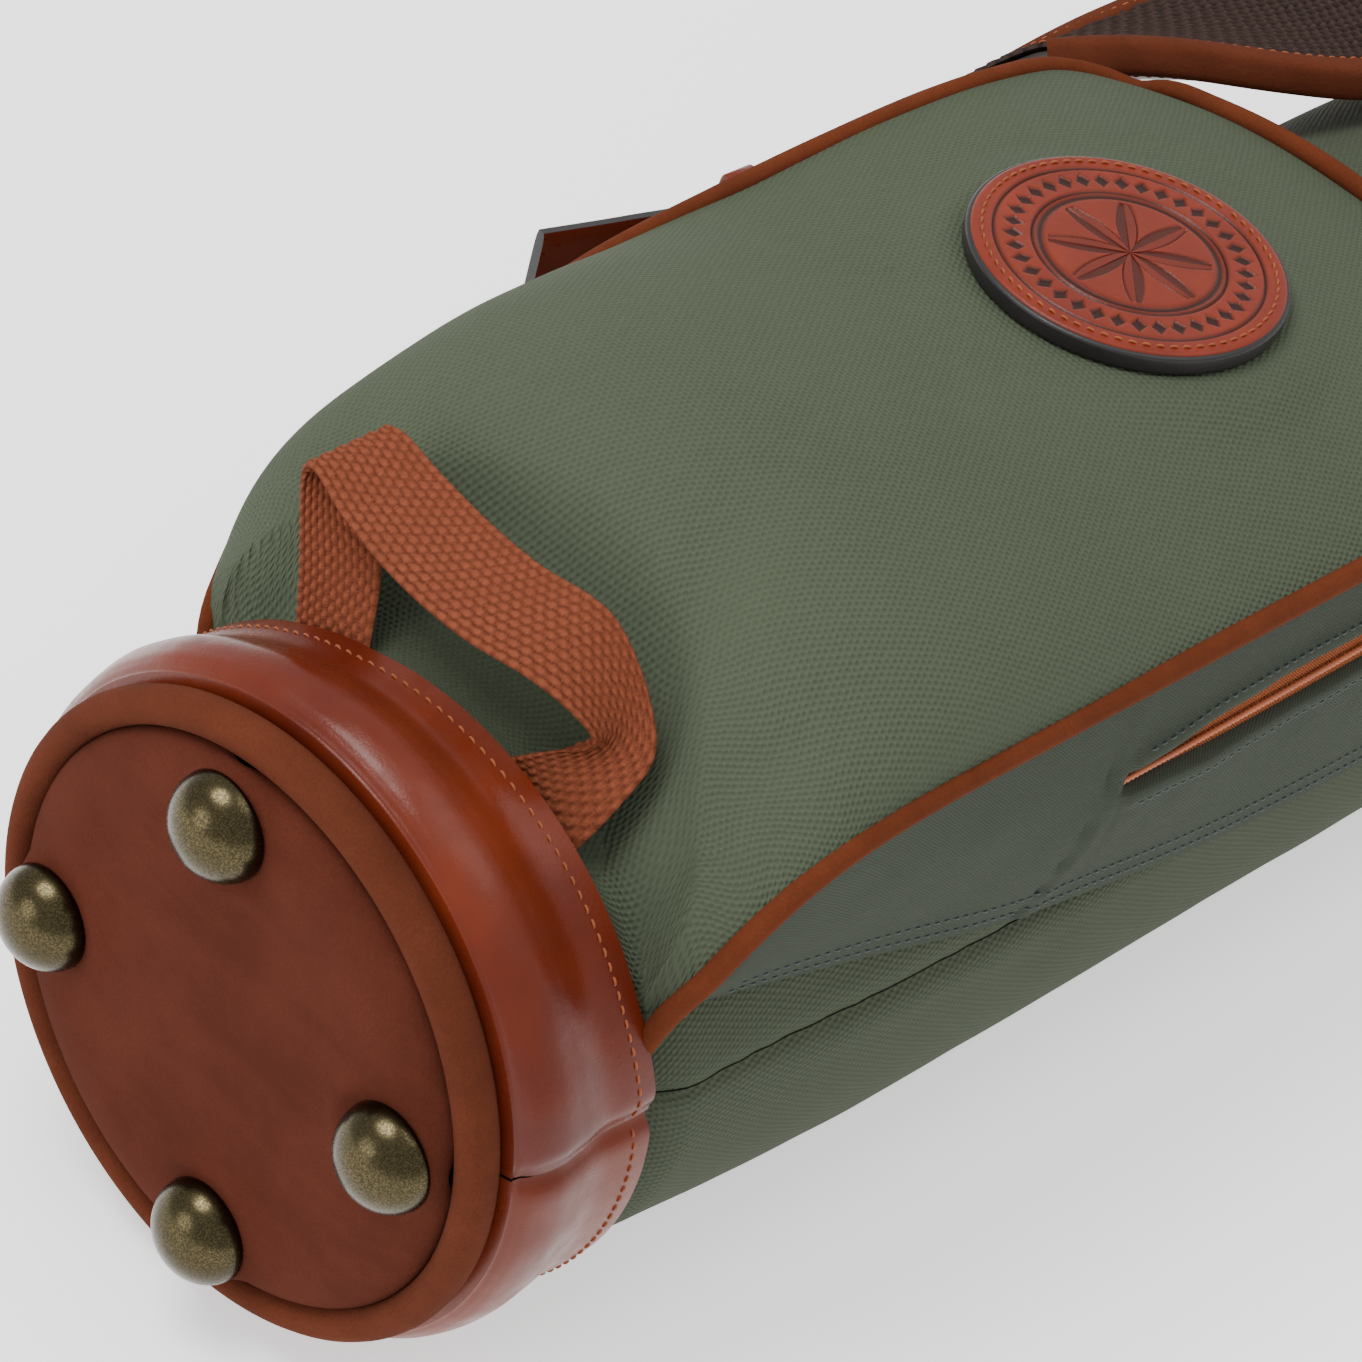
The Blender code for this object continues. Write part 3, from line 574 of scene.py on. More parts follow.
def plain(name, color, roughness, grain=900.0, depth=0.00004, **sockets):
    """Moulded or painted: one colour, broken by a fine grain."""
    look = Look(name, color, roughness, **sockets)
    at = look.coords("Object")
    fine = look.noise(at, grain, 3.0, 0.6)
    slow = look.noise(at, 40.0, 2.0)
    look.set("Base Color", look.mix(look.ramp(slow, 0.3, 0.7), scaled(color, 0.85), scaled(color, 1.15)))
    look.set("Roughness", look.ramp(fine, 0.3, 0.7, roughness - 0.06, roughness + 0.08))
    look.bumps((fine, depth))
    return look.material


def carved_leather(name, color, hollow_shade):
    """Stamped leather: the hollows are darkened as painted shade."""
    look = Look(name, color, 0.34, specular_ior_level=0.2)
    at = look.coords("Object")
    deep = look.attribute("depth")
    grain = look.noise(at, 900.0, 3.0, 0.6)
    slow = look.noise(at, 60.0, 3.0)
    face = look.mix(look.ramp(slow, 0.35, 0.7), color, scaled(color, 1.3))
    # painted shade: the stamped hollows are mixed towards the dark colour by their depth
    look.set("Base Color", look.mix(deep, face, hollow_shade))
    look.set("Roughness", look.ramp(grain, 0.3, 0.7, 0.28, 0.44))
    look.bumps((grain, 0.00006))
    return look.material


def net(name, color):
    """Spacer mesh: its holes are in the mesh, the knit is here, and the holes are darkened as painted shade.
    """
    look = Look(name, color, 0.75, specular_ior_level=0.15)
    deep = look.attribute("depth")
    knit = look.noise(look.coords("UV"), 2200.0, 2.0)
    # painted shade: the holes are coloured at a fifth of the mesh's colour
    look.set("Base Color", look.mix(deep, color, scaled(color, 0.2)))
    look.bumps((knit, 0.00012))
    return look.material


CANVAS = canvas("canvas", (0.058, 0.070, 0.045))
CANVAS_BODY = canvas("canvas_body", (0.050, 0.060, 0.039))
GUSSET = canvas("gusset_cloth", (0.040, 0.047, 0.035), (0.0011, 0.0009), 0.1, 0.00008)
LINING = canvas("lining_cloth", (0.030, 0.032, 0.030), (0.0012, 0.0012), 0.1, 0.0001, "Object", (0, 1))
BOOT_LEATHER = leather("boot_leather", (0.078, 0.0095, 0.0034), (0.135, 0.020, 0.006), 0.27)
# painted light: the rear band's leather is a lighter copy of the boot leather, standing in for light falling
# on it
LIT_REAR_LEATHER = leather("boot_leather_rear_lit", (0.105, 0.0155, 0.0048), (0.155, 0.026, 0.008), 0.30)
STRAP_LEATHER = leather("strap_leather", (0.112, 0.014, 0.005), (0.15, 0.023, 0.008), 0.30)
SUEDE = suede("suede", (0.072, 0.018, 0.010))
SUEDE_WELT = suede("suede_welt", (0.088, 0.023, 0.011))
SUEDE_PIPING = suede("suede_piping", (0.100, 0.025, 0.010))
BRASS = antique_brass("antique_brass")
WEBBING = webbing("webbing", (0.165, 0.046, 0.023))
ZIP_TAPE = twill("zip_tape", (0.30, 0.080, 0.028))
ZIP_COIL = plain("zip_coil", (0.36, 0.10, 0.04), 0.5)
EDGE_PAINT = plain("edge_paint", (0.016, 0.014, 0.014), 0.38, 500.0, 0.00006)
# The last colour is the painted shade laid in the badge's stamped hollows.
BADGE_LEATHER = carved_leather("badge_leather", (0.140, 0.0165, 0.0060), (0.010, 0.004, 0.003))
THREAD = plain("thread_tan", (0.24, 0.062, 0.020), 0.7, 3000.0, 0.00008)
THREAD_DARK = plain("thread_green", (0.040, 0.055, 0.050), 0.6, 3000.0, 0.00008)
NET = net("spacer_mesh", (0.032, 0.017, 0.013))
PLASTIC = plain("plastic", (0.028, 0.028, 0.030), 0.5)
FOAM = plain("foam", (0.05, 0.045, 0.04), 0.9, 700.0, 0.0001)


# Camera, lights and floor

LIGHTS_AIM = (-0.25, 0.0, 0.08)


def look_from(position, right, up):
    right = Vector(right).normalized()
    up = (Vector(up) - right * right.dot(Vector(up))).normalized()
    back = right.cross(up)
    turned = Matrix((right, up, back)).transposed().to_4x4()
    return Matrix.Translation(position) @ turned


def build_stage():
    data = bpy.data.cameras.new("camera")
    data.lens = 132.16
    data.sensor_width = 36.0
    camera = bpy.data.objects.new("camera", data)
    bpy.context.scene.collection.objects.link(camera)
    camera.matrix_world = look_from((-1.0222, -0.4927, 0.8296), (0.6891, -0.6930, 0.2119),
                                    (0.3461, 0.5716, 0.7439))
    bpy.context.scene.camera = camera

    mesh = bpy.data.meshes.new("floor")
    mesh.from_pydata([(-6, -6, 0), (6, -6, 0), (6, 6, 0), (-6, 6, 0)], [], [(0, 1, 2, 3)])
    floor = bpy.data.objects.new("floor", mesh)
    floor.location.z = CAD_BOX[0][2] - 0.0005
    mesh.materials.append(Look("floor_white", (0.93, 0.93, 0.93), 0.85, emission_color=(1.0, 1.0, 1.0, 1.0),
                               emission_strength=0.8).material)
    bpy.context.scene.collection.objects.link(floor)

    world = bpy.data.worlds.new("studio")
    world.use_nodes = True
    world.node_tree.nodes["Background"].inputs["Color"].default_value = (1.0, 1.0, 1.0, 1.0)
    world.node_tree.nodes["Background"].inputs["Strength"].default_value = 1.0
    bpy.context.scene.world = world

    for name, place_at, size, power in (
        ("key", (-0.9, 0.5, 1.9), 1.1, 34.0),
        ("top", (0.4, -0.7, 2.1), 1.6, 12.0),
        ("base_fill", (-1.9, 0.5, 0.5), 0.9, 7.0),
    ):
        light = bpy.data.lights.new(name, "AREA")
        light.shape = "DISK"
        light.size = size
        light.energy = power
        lamp = bpy.data.objects.new(name, light)
        lamp.location = place_at
        aim = Vector(LIGHTS_AIM) - Vector(place_at)
        lamp.rotation_euler = aim.to_track_quat("-Z", "Y").to_euler()
        bpy.context.scene.collection.objects.link(lamp)


build_stage()


# Base: suede disc, rolled welt and domed feet

DISC_RADIUS = 0.0672
DISC_FACE = -0.0062
DISC_FLAT = 0.0500
DISC_SHOULDER = 0.0066
WELT_RING = 0.0713
WELT_ROLL_STATION = 0.0022
FOOT_SEAT = -0.0066
FOOT_BOXES = [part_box(f"foot_stud_{index}") for index in range(1, 5)]
FOOT_RADIUS = (FOOT_BOXES[0][1].z - FOOT_BOXES[0][0].z) / 2.0


def disc_height(radius):
    """The suede disc's face: flat in the middle, and a full round shoulder at its edge."""
    t = min(max((radius - DISC_FLAT) / (DISC_RADIUS - DISC_FLAT), 0.0), 1.0)
    return DISC_FACE + DISC_SHOULDER * (1.0 - math.sqrt(1.0 - t * t))


def disc_relief(radius, turn):
    """The suede puffs a little between the feet and is held level under each one."""
    y, z = polar(radius, turn)
    lift = 0.0005 * ripple((y, z, 0.3), 28.0) * smooth((DISC_RADIUS - radius) / 0.006)
    for low, high in FOOT_BOXES:
        away = math.hypot(y - (low.y + high.y) / 2.0, z - (low.z + high.z) / 2.0 + AXIS_Z)
        under = smooth((FOOT_RADIUS + 0.0022 - away) / 0.0035)
        lift += (min(DISC_FACE - disc_height(radius), 0.0) - lift) * under
        lift -= 0.0009 * bump_at(away, FOOT_RADIUS + 0.0035, 0.0028) * smooth((DISC_FLAT - radius) / 0.01)
    return lift, 0.0


def build_base():
    turns = np.concatenate([np.linspace(0.0, DISC_FLAT, 36), DISC_FLAT + (DISC_RADIUS - DISC_FLAT)
                            * np.sin(np.linspace(0.0, math.pi / 2, 22))[1:]])
    profile = [(r, disc_height(r)) for r in turns] + [(DISC_RADIUS, 0.0012)]
    lathe("base_disc_suede", profile, SUEDE, "bag", place(0, 0, 0), relief=disc_relief,
          replaces=["base_cover"], steps=192)
    path, up = ring_path(WELT_ROLL_STATION, WELT_RING, 240)
    roll = [(a * 1.04, b * 0.86) for a, b in circle(WELT_TUBE, 20)]
    sweep("base_welt_roll", path, roll, SUEDE_WELT, "bag", closed=True, up=up,
          replaces=["base_welt"])


def build_feet():
    for index, (low, high) in enumerate(FOOT_BOXES, 1):
        centre = (0.0, (low.y + high.y) / 2.0, (low.z + high.z) / 2.0)
        back = BASE_X + FOOT_SEAT
        arc = [math.radians(90.0 * i / 24) for i in range(25)]
        dome = [(FOOT_RADIUS * math.cos(a), back - (back - low.x) * math.sin(a)) for a in reversed(arc)]
        under = back + 0.0006
        rim = [(FOOT_RADIUS * 0.985, back + 0.0004), (FOOT_RADIUS * 0.93, under), (0.0, under)]
        lathe(f"foot_dome_{index}", [*dome, *rim], BRASS, "bag", centre, steps=72,
              replaces=[f"foot_stud_{index}"])


build_base()
build_feet()


# Boot: two bands of smooth leather, tucked in at their side seams

BOOT_CURVE = (
    (0.0070, 0.0722), (0.0072, 0.0745), (0.0082, 0.0768), (0.0102, 0.0789), (0.0132, 0.0802),
    (0.0178, 0.0810), (0.0250, 0.0804), (0.0335, 0.0793), (0.0420, 0.0799), (0.0467, 0.0799),
)


BOOT_START = BOOT_CURVE[0][0]
BOOT_STITCHES = 0.0420


def boot_radius(station, seam):
    """Radius of the boot's face: a puffed roll by the welt, a shallow waist, a straight top."""
    drawn = 0.0022 * bump_at(seam, 0.0, 0.0032) * smooth((station - BOOT_START) / 0.003)
    return through(BOOT_CURVE, station) - drawn


def boot_seam(angle, first, last):
    """Length round the boot to the nearer of a band's two seams."""
    return min(abs(angle - first), abs(angle - last)) * math.radians(1.0) * BOOT_RADIUS


def boot_grid(first, last, count, lift):
    stations = np.concatenate([np.linspace(BOOT_START, 0.0106, 13), np.linspace(0.0114, 0.020, 10),
                               np.linspace(0.0215, BOOT_TOP, 26)])
    grid = []
    for station in stations:
        row = []
        for angle in np.linspace(first, last, count):
            turn = math.radians(angle)
            seam = boot_seam(angle, first, last)
            uneven = ripple((0.0, math.sin(turn), math.cos(turn)), 5.0, 3.0)
            puff = 0.0007 * bump_at(station, 0.019, 0.008) * uneven
            wide = lift * smooth(1.0 - seam / 0.03) * smooth((station - BOOT_START) / 0.006)
            radius = boot_radius(station, seam) + puff + wide
            row.append(place(station, *polar(radius, turn)))
        grid.append(row)
    return np.array(grid)


def build_boot():
    for name, first, last, count, look, lift, node in (
        ("boot_front_leather", SEAM_ANGLE - 0.3, 0.3 - SEAM_ANGLE, 200, BOOT_LEATHER, 0.0009,
         "boot_front_band"),
        ("boot_rear_leather", -SEAM_ANGLE - 0.3, SEAM_ANGLE - 359.7, 240, LIT_REAR_LEATHER, 0.0,
         "boot_rear_band"),
    ):
        grid = boot_grid(first, last, count, lift)
        shell(name, grid, 0.0, 0.0015, [look, EDGE_PAINT], "bag", replaces=[node])
        path, out = [], []
        for angle in np.linspace(first, last, 300):
            turn = math.radians(angle)
            seam = boot_seam(angle, first, last)
            radius = boot_radius(BOOT_STITCHES, seam) + lift * smooth(1.0 - seam / 0.03)
            path.append(place(BOOT_STITCHES, *polar(radius, turn)))
            out.append((0.0, *polar(1.0, turn)))
        stitches(name + "_stitches", path, out, BOLD_SEWING, THREAD, "bag", lean=0.16)


build_boot()


# Body: front and back canvas with puckered side seams

BODY_START = 0.040
BODY_END = 0.8585
MOUTH_RADIUS = 0.0776


def body_size(station):
    """Half-width and half-height of the bag's outer canvas."""
    swell = smooth((station - BOOT_TOP) / 0.014)
    lift = smooth((station - BOOT_TOP) / 0.045)
    belly = smooth((station - 0.050) / 0.110)
    waist = smooth((station - 0.700) / 0.090)
    width = TUCK_RADIUS + 0.0055 * swell + 0.0060 * belly
    height = TUCK_RADIUS + 0.0055 * lift + 0.0015 * belly
    return width + (MOUTH_RADIUS - BODY_WIDTH) * waist, height + (MOUTH_RADIUS - BODY_HEIGHT) * waist


def around(station, degrees, lift=0.0):
    """Point on the bag's side, counted from the top towards -Y, and flat underneath."""
    width, height = body_size(station)
    turn = math.radians(degrees)
    z = (height + lift) * math.cos(turn)
    return place(station, -(width + lift) * math.sin(turn), max(z, -AXIS_Z))


def body_lift(station, degrees):
    """How far the cloth stands off its plain shape: seams drawn in, soft waves elsewhere."""
    wrapped = degrees if degrees > -180.0 else degrees + 360.0
    seam = abs(abs(wrapped) - SEAM_ANGLE) * math.radians(BODY_WIDTH)
    pucker = 0.5 + 0.5 * math.sin(station * TAU / 0.011 + 3.0 * ripple((station, 0, 0), 40.0))
    drawn = -(0.0011 + 0.0004 * pucker) * bump_at(seam, 0.0, 0.0022)
    shoulder = 0.0005 * bump_at(seam, 0.0075, 0.004)
    free = smooth((station - 0.060) / 0.05) * smooth((0.80 - station) / 0.05)
    turn = math.radians(degrees)
    spot = (station, 0.08 * math.sin(turn), 0.08 * math.cos(turn))
    wave = 0.0010 * ripple(spot, 17.0, 2.0) + 0.0004 * ripple(spot, 45.0, 5.0)
    return drawn + (shoulder + wave - 0.0005) * free


def build_body():
    stations = np.concatenate([np.linspace(BODY_START, 0.10, 26), np.linspace(0.104, BODY_END, 170)])
    edge = np.linspace(0.0, 1.0, 10) ** 1.5 * 9.0
    for name, first, last, node in (
        ("body_front_cloth", SEAM_ANGLE - 0.2, 0.2 - SEAM_ANGLE, "body_front_canvas"),
        ("body_back_cloth", -SEAM_ANGLE - 0.2, SEAM_ANGLE - 359.8, "body_back_canvas"),
    ):
        middle = np.linspace(first - 9.0, last + 9.0, 62)[1:-1]
        angles = np.concatenate([first - edge, middle, (last + edge)[::-1]])
        grid = [[around(s, a, body_lift(s, a)) for a in angles] for s in stations]
        shell(name, grid, 0.0, 0.0016, CANVAS_BODY, "bag", replaces=[node])


build_body()


# Pocket: bulging panel, gusset wall with its zip, and suede piping

CROWN = (
    (0.040, 0.0762), (0.047, 0.0770), (0.054, 0.0800), (0.062, 0.0880), (0.070, 0.0970),
    (0.080, 0.1060), (0.092, 0.1130), (0.110, 0.1175), (0.140, 0.1160), (0.180, 0.1090),
    (0.215, 0.1062), (0.256, 0.1060), (0.295, 0.1045), (0.325, 0.1000), (0.352, 0.0940),
)


def far_rise(station):
    """The far side of the pocket's edge stands higher, where the cloth is fullest."""
    rolled = -0.0210 * bump_at(station, 0.088, 0.060) * smooth((station - BOOT_TOP) / 0.012)
    return rolled + 0.0066 * bump_at(station, 0.285, 0.070)


def climb(station):
    """0 at the boot's rim, rising towards 1 as the pocket comes out of it."""
    return 1.0 - math.exp(-max(station - BOOT_TOP, 0.0) / 0.012)


def piping_height(station):
    """Height of the pocket's edge above the axis: a quick climb out of the boot, then a slow fall."""
    rise = 0.026 + 0.060 * climb(station)
    end = smooth((station - 0.300) / (POCKET_END - 0.300))
    return rise - 0.00002 * max(station * 1000.0 - 110.0, 0.0) - 0.0022 * end


def piping_half(station):
    """Half-width of the pocket at a station, with its round far corners."""
    side = POCKET_FOOT_HALF + (POCKET_HALF - POCKET_FOOT_HALF) * climb(station)
    past = max(station - (POCKET_END - POCKET_CORNER), 0.0)
    return side - POCKET_CORNER + math.sqrt(max(POCKET_CORNER**2 - past**2, 0.0))


CROWN_FINE = {}


def crown_at(station):
    """Height of the pocket's middle at a station, worked out once for each."""
    key = round(station, 5)
    if key not in CROWN_FINE:
        CROWN_FINE[key] = through(CROWN, station)
    return CROWN_FINE[key]


def panel_point(station, share):
    """Point on the pocket's front at a share of its half-width, -1 on the near side."""
    half = piping_half(station)
    edge = piping_height(station) + far_rise(station) * smooth(share)
    crown = crown_at(station) + max(far_rise(station), 0.0) * 0.5 * smooth(share)
    flat = smooth((station - 0.120) / 0.130)
    y = half * math.sin(share * math.pi / 2.0)
    part = abs(y / half) ** (2.0 + 0.5 * flat)
    rise = (1.0 - min(part, 1.0)) ** (0.5 + 0.5 * flat)
    middle = max(0.0, 1.0 - (y / 0.070) ** 2)
    loose = smooth((station - BOOT_TOP - 0.0004 - 0.004 * middle) / (0.004 + 0.030 * middle))
    tuck = math.sqrt(max(0.0762**2 - y * y, 0.026**2))
    return station, y, tuck + (edge + (crown - edge) * rise - tuck) * loose


BADGE_LOW, BADGE_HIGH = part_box("badge_backing")
BADGE_X = (BADGE_LOW.x + BADGE_HIGH.x) / 2.0
BADGE_RADIUS = (BADGE_HIGH.x - BADGE_LOW.x) / 2.0
SEAT_MARGIN = 0.018
PANEL_REACH = 0.998


def panel_folds(station, y):
    """Soft folds where the cloth gathers into the boot, and slow waves over the rest."""
    lift = 0.0
    for at_y, lean, depth, width, reach in (
        (0.050, 0.45, -0.0056, 0.0085, 0.070),
        (-0.060, -0.16, -0.0030, 0.0060, 0.070),
        (-0.047, 0.50, -0.0046, 0.0062, 0.085),
        (0.018, 0.12, -0.0012, 0.0080, 0.045),
    ):
        along = station - BOOT_TOP
        line = at_y + lean * along
        strength = smooth(along / 0.008) * smooth(1.0 - along / reach)
        lift += depth * strength * bump_at(y, line, width * (1.0 + 12.0 * along))
    free = smooth((station - 0.060) / 0.060)
    lift += 0.0011 * free * ripple((station, y, 0.0), 16.0, 7.0)
    lift += 0.0004 * free * ripple((station, y, 0.0), 42.0, 1.0)
    return lift


def panel_grid():
    stations = np.concatenate([np.linspace(0.0400, 0.0500, 10), np.linspace(0.0512, 0.100, 44),
                               np.linspace(0.1015, 0.3260, 150), np.linspace(0.3272, 0.3492, 20)])
    grid = []
    for station in stations:
        row = []
        for share in np.linspace(-PANEL_REACH, PANEL_REACH, 150):
            s, y, z = panel_point(station, share)
            hold = smooth((1.0 - abs(share)) / 0.12) * smooth((0.352 - s) / 0.030)
            z += panel_folds(s, y) * hold
            away = math.hypot(BASE_X + s - BADGE_X, y)
            seat = BADGE_LOW.z - AXIS_Z - 0.0002
            under = smooth((BADGE_RADIUS + SEAT_MARGIN - away) / 0.020)
            z += (seat - z) * under
            row.append(place(s, y, z))
        grid.append(row)
    return np.array(grid)


def piping_path():
    """The pocket's edge from the boot, up the near side, round the end and back."""
    side = [0.0472, 0.0505, 0.0525, 0.056, 0.061, 0.067, 0.076, 0.088, 0.102, 0.120, 0.145, 0.172]
    side += [0.210, 0.250, 0.290, 0.312]
    corner = POCKET_END - POCKET_CORNER
    arc = [corner + POCKET_CORNER * math.sin(math.radians(a)) for a in (0, 18, 36, 54, 72)]
    near = [(s, -piping_half(s), piping_height(s)) for s in side + arc]
    end_half = POCKET_HALF - POCKET_CORNER
    edge = piping_height(POCKET_END)
    crown = crown_at(POCKET_END)
    across = []
    for share in np.linspace(-1.0, 1.0, 9):
        y = end_half * share
        across.append((POCKET_END, y, edge + (crown - edge) * (1.0 - abs(y / 0.075) ** 2)))
    far = [(s, -y - 0.0040 * bump_at(s, 0.088, 0.060), z + far_rise(s)) for s, y, z in reversed(near)]
    across = [(s, y, z + far_rise(s) * smooth(0.5 + y / (2.0 * end_half))) for s, y, z in across]
    return near + across + far


def top_of_body(station, y):
    """Height of the canvas above the axis at y."""
    width, height = body_size(station)
    return height * math.sqrt(max(0.0, 1.0 - (y / width) ** 2))


ZIP_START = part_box("zip_coil")[0].x - BASE_X
ZIP_Z = (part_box("zip_coil")[0].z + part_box("zip_coil")[1].z) / 2.0 - AXIS_Z
ZIP_SIDE = -0.05
ZIP_END = 0.327
TAPE_HALF = 0.0072
CROSS_SEAM = 0.168
GUSSET_BULGE = 0.0030

# Station, and height above the axis at which the gusset's foot meets the bag
SEAT_LINE = (
    (0.044, 0.0350), (0.055, 0.0340), (0.080, 0.0310), (0.110, 0.0265), (0.145, 0.0200),
    (0.177, 0.0145), (0.232, 0.0065), (0.300, 0.0020), (0.352, 0.0020),
)


def gusset_row(path, index):
    """Foot, top and outward direction of the gusset at a point of the piping."""
    before = Vector(path[max(index - 1, 0)])
    after = Vector(path[min(index + 1, len(path) - 1)])
    along = (after - before).normalized()
    station, y, z = path[index]
    down = (along * along.z - Vector((0, 0, 1))).normalized()
    top = Vector((station, y * 0.996, z)) + down * 0.0022
    width, height = body_size(top.x)
    side_z = through(SEAT_LINE, top.x)
    side_y = width * math.sqrt(1.0 - (side_z / height) ** 2)
    share = min(abs(y) / piping_half(min(station, POCKET_END - POCKET_CORNER)), 1.0)
    foot_y = math.copysign(side_y * share, y)
    foot_z = top_of_body(top.x, foot_y)
    off = Vector((0, foot_y / width**2, foot_z / height**2)).normalized() * 0.0010
    foot = Vector((top.x, foot_y, foot_z)) + off
    foot.z = min(foot.z, top.z - 0.002)
    out = along.cross(Vector((0, 0, 1))).normalized()
    return foot, top, out


def zip_gap(station):
    """Half-height of the slit that the zip shows through: a point at the cross seam, then wider."""
    return 0.0030 + 0.0030 * smooth((station - ZIP_START + 0.001) / 0.040)


def gusset_lift(station, y, z, part):
    """How far the gusset stands off: its bulge, soft dents and the cross seam."""
    soft = math.sin(part * math.pi)
    lift = GUSSET_BULGE * soft
    lift += 0.0016 * soft * ripple((station, y, z), 26.0, 4.0)
    lift += 0.0004 * soft * ripple((station, y, z), 70.0, 9.0)
    slant = CROSS_SEAM - 0.014 * (1.0 - part) ** 2
    if y < 0:
        lift -= 0.0012 * bump_at(station, slant, 0.0007)
        lift += 0.0007 * bump_at(station, slant + 0.004, 0.0028)
    return lift


def build_pocket():
    shell("pocket_panel_cloth", panel_grid(), 0.0, 0.0011, CANVAS, "bag",
          replaces=["pocket_panel"])
    path = resample(piping_path(), 300)
    points = [place(*p) for p in path]
    sweep("pocket_piping_roll", points, circle(PIPING_RADIUS, 14), SUEDE_PIPING, "bag",
          replaces=["pocket_piping"])
    parts = np.concatenate([np.linspace(0.0, 0.16, 10), np.linspace(0.18, 0.44, 12),
                            np.linspace(0.45, 0.74, 64), np.linspace(0.76, 1.0, 12)])
    grid = []
    rows = [gusset_row(path, i) for i in range(len(path))]
    for foot, top, out in rows:
        row = []
        for part in parts:
            spot = foot + (top - foot) * part
            lift = gusset_lift(spot.x, spot.y, spot.z, part)
            in_zip = smooth((spot.x - ZIP_START + 0.001) / 0.004) * smooth((ZIP_END - spot.x) / 0.004)
            if spot.y < ZIP_SIDE and in_zip > 0.0:
                gap = zip_gap(spot.x)
                away = abs(spot.z - ZIP_Z) - gap
                lip = 0.0018 * bump_at(away, 0.0022, 0.0030)
                sunk = -0.0036 * smooth((0.0006 - away) / 0.0016)
                lift += (lip + sunk) * in_zip
            row.append(place(*(spot + out * lift)))
        grid.append(row)
    shell("pocket_gusset_cloth", grid, 0.0, 0.0010, GUSSET, "bag",
          replaces=["pocket_gusset"])
    return rows


GUSSET_ROWS = build_pocket()


def gusset_line(part_of, first=0.0, last=1.0, near=True):
    """A line on the gusset at a part of its height, and the directions out of it."""
    spots, outs = [], []
    for foot, top, out in GUSSET_ROWS:
        part = part_of(foot, top)
        spot = foot + (top - foot) * part
        if first <= spot.x <= last and (spot.y < 0) == near:
            lift = gusset_lift(spot.x, spot.y, spot.z, part)
            spots.append(place(*(spot + out * lift)))
            outs.append(tuple(out))
    return spots, outs


def build_gusset_sewing():
    for near, side in ((True, "near"), (False, "far")):
        for name, height in (("lower", 0.0035), ("upper", 0.0085)):
            spots, outs = gusset_line(lambda foot, top: min(0.9, height / max((top - foot).length, 0.001)),
                                      0.066, 0.335, near)
            stitches(f"gusset_{side}_stitches_{name}", spots, outs, SEAM_SEWING, THREAD_DARK, "bag")
    for name, offset in (("upper", 0.0042), ("lower", -0.0042)):
        def at(foot, top):
            spot_z = ZIP_Z + math.copysign(zip_gap(foot.x), offset) + offset
            return (spot_z - foot.z) / max(top.z - foot.z, 0.001)
        spots, outs = gusset_line(at, ZIP_START + 0.004, 0.322)
        spots = [tuple(np.array(p) + np.array(o) * 0.0012) for p, o in zip(spots, outs)]
        stitches(f"zip_stitches_{name}", spots, outs, ZIP_SEWING, THREAD_DARK, "bag")


def zip_line(rise, depth):
    """Points along the zip at a height from its middle, sunk below the gusset's face."""
    found = []
    for foot, top, out in GUSSET_ROWS:
        if foot.y > ZIP_SIDE or not ZIP_START - 0.002 <= foot.x <= ZIP_END + 0.0005:
            continue
        part = (ZIP_Z + rise - foot.z) / max(top.z - foot.z, 0.001)
        spot = foot + (top - foot) * part
        lift = GUSSET_BULGE * math.sin(part * math.pi)
        found.append(tuple(spot + out * (lift - depth)))
    return resample(found, 160)


def build_zip():
    across = np.linspace(-TAPE_HALF, TAPE_HALF, 21)
    rows = [zip_line(rise, 0.0006 + 0.0014 * abs(rise) / TAPE_HALF) for rise in across]
    grid = [[place(*row[i]) for row in rows] for i in range(160)]
    groove = np.array([[-0.0005 * bump_at(a, 0.0, 0.0007) for a in across] for _ in grid])
    shell("zip_tape_cloth", grid, groove, 0.0007, ZIP_TAPE, "bag",
          replaces=["zip_tape_upper", "zip_tape_lower"])
    teeth = resample([place(*p) for p in zip_line(0.0, 0.0001)], 400)
    size = [1.0 + 0.22 * math.sin(TAU * i / 4.0) for i in range(400)]
    sweep("zip_coil_line", teeth, circle(0.0007, 8), ZIP_COIL, "bag", up=(0, -1, 0),
          replaces=["zip_coil"], size=size)


build_gusset_sewing()
build_zip()


# Badge: black-edged backing, stamped face and its stitching

def star(turn, points):
    """0 in the middle of a point's flank, 1 along its ridge."""
    wedge = (turn % (TAU / points)) / (TAU / points)
    return abs(wedge - 0.5) * 2.0


def badge_relief(radius, turn):
    """Depth of the stamping: three rings, a band of lozenges, and an eight-pointed star. It is
    worked out in millimetres."""
    r = radius * 1000.0
    deep = 0.0
    for ring, width in ((32.6, 0.45), (23.4, 0.45), (21.6, 0.9)):
        deep = max(deep, bump_at(r, ring, width))
    if 24.5 < r < 31.5:
        step = TAU / 36
        wedge = abs((turn % step) / step - 0.5) * 2.0
        lozenge = 1.0 - abs(r - 28.0) / 2.6 - wedge * 1.25
        deep = max(deep, smooth(lozenge * 3.0 + 0.3))
    if r < 19.5:
        long_point = 18.5 * (1.0 - star(turn + TAU / 16, 8)) ** 1.1 + 4.0
        inside = smooth((long_point - r) / 1.1)
        edge = bump_at(long_point - r, 0.4, 0.9)
        half = 1.0 if ((turn + TAU / 16) % (TAU / 8)) > TAU / 16 else 0.35
        deep = max(deep, edge * 0.8, inside * half * 0.75)
    # The second value is the share of painted shade in the stamped hollows.
    return -0.00055 * deep, deep * 0.92


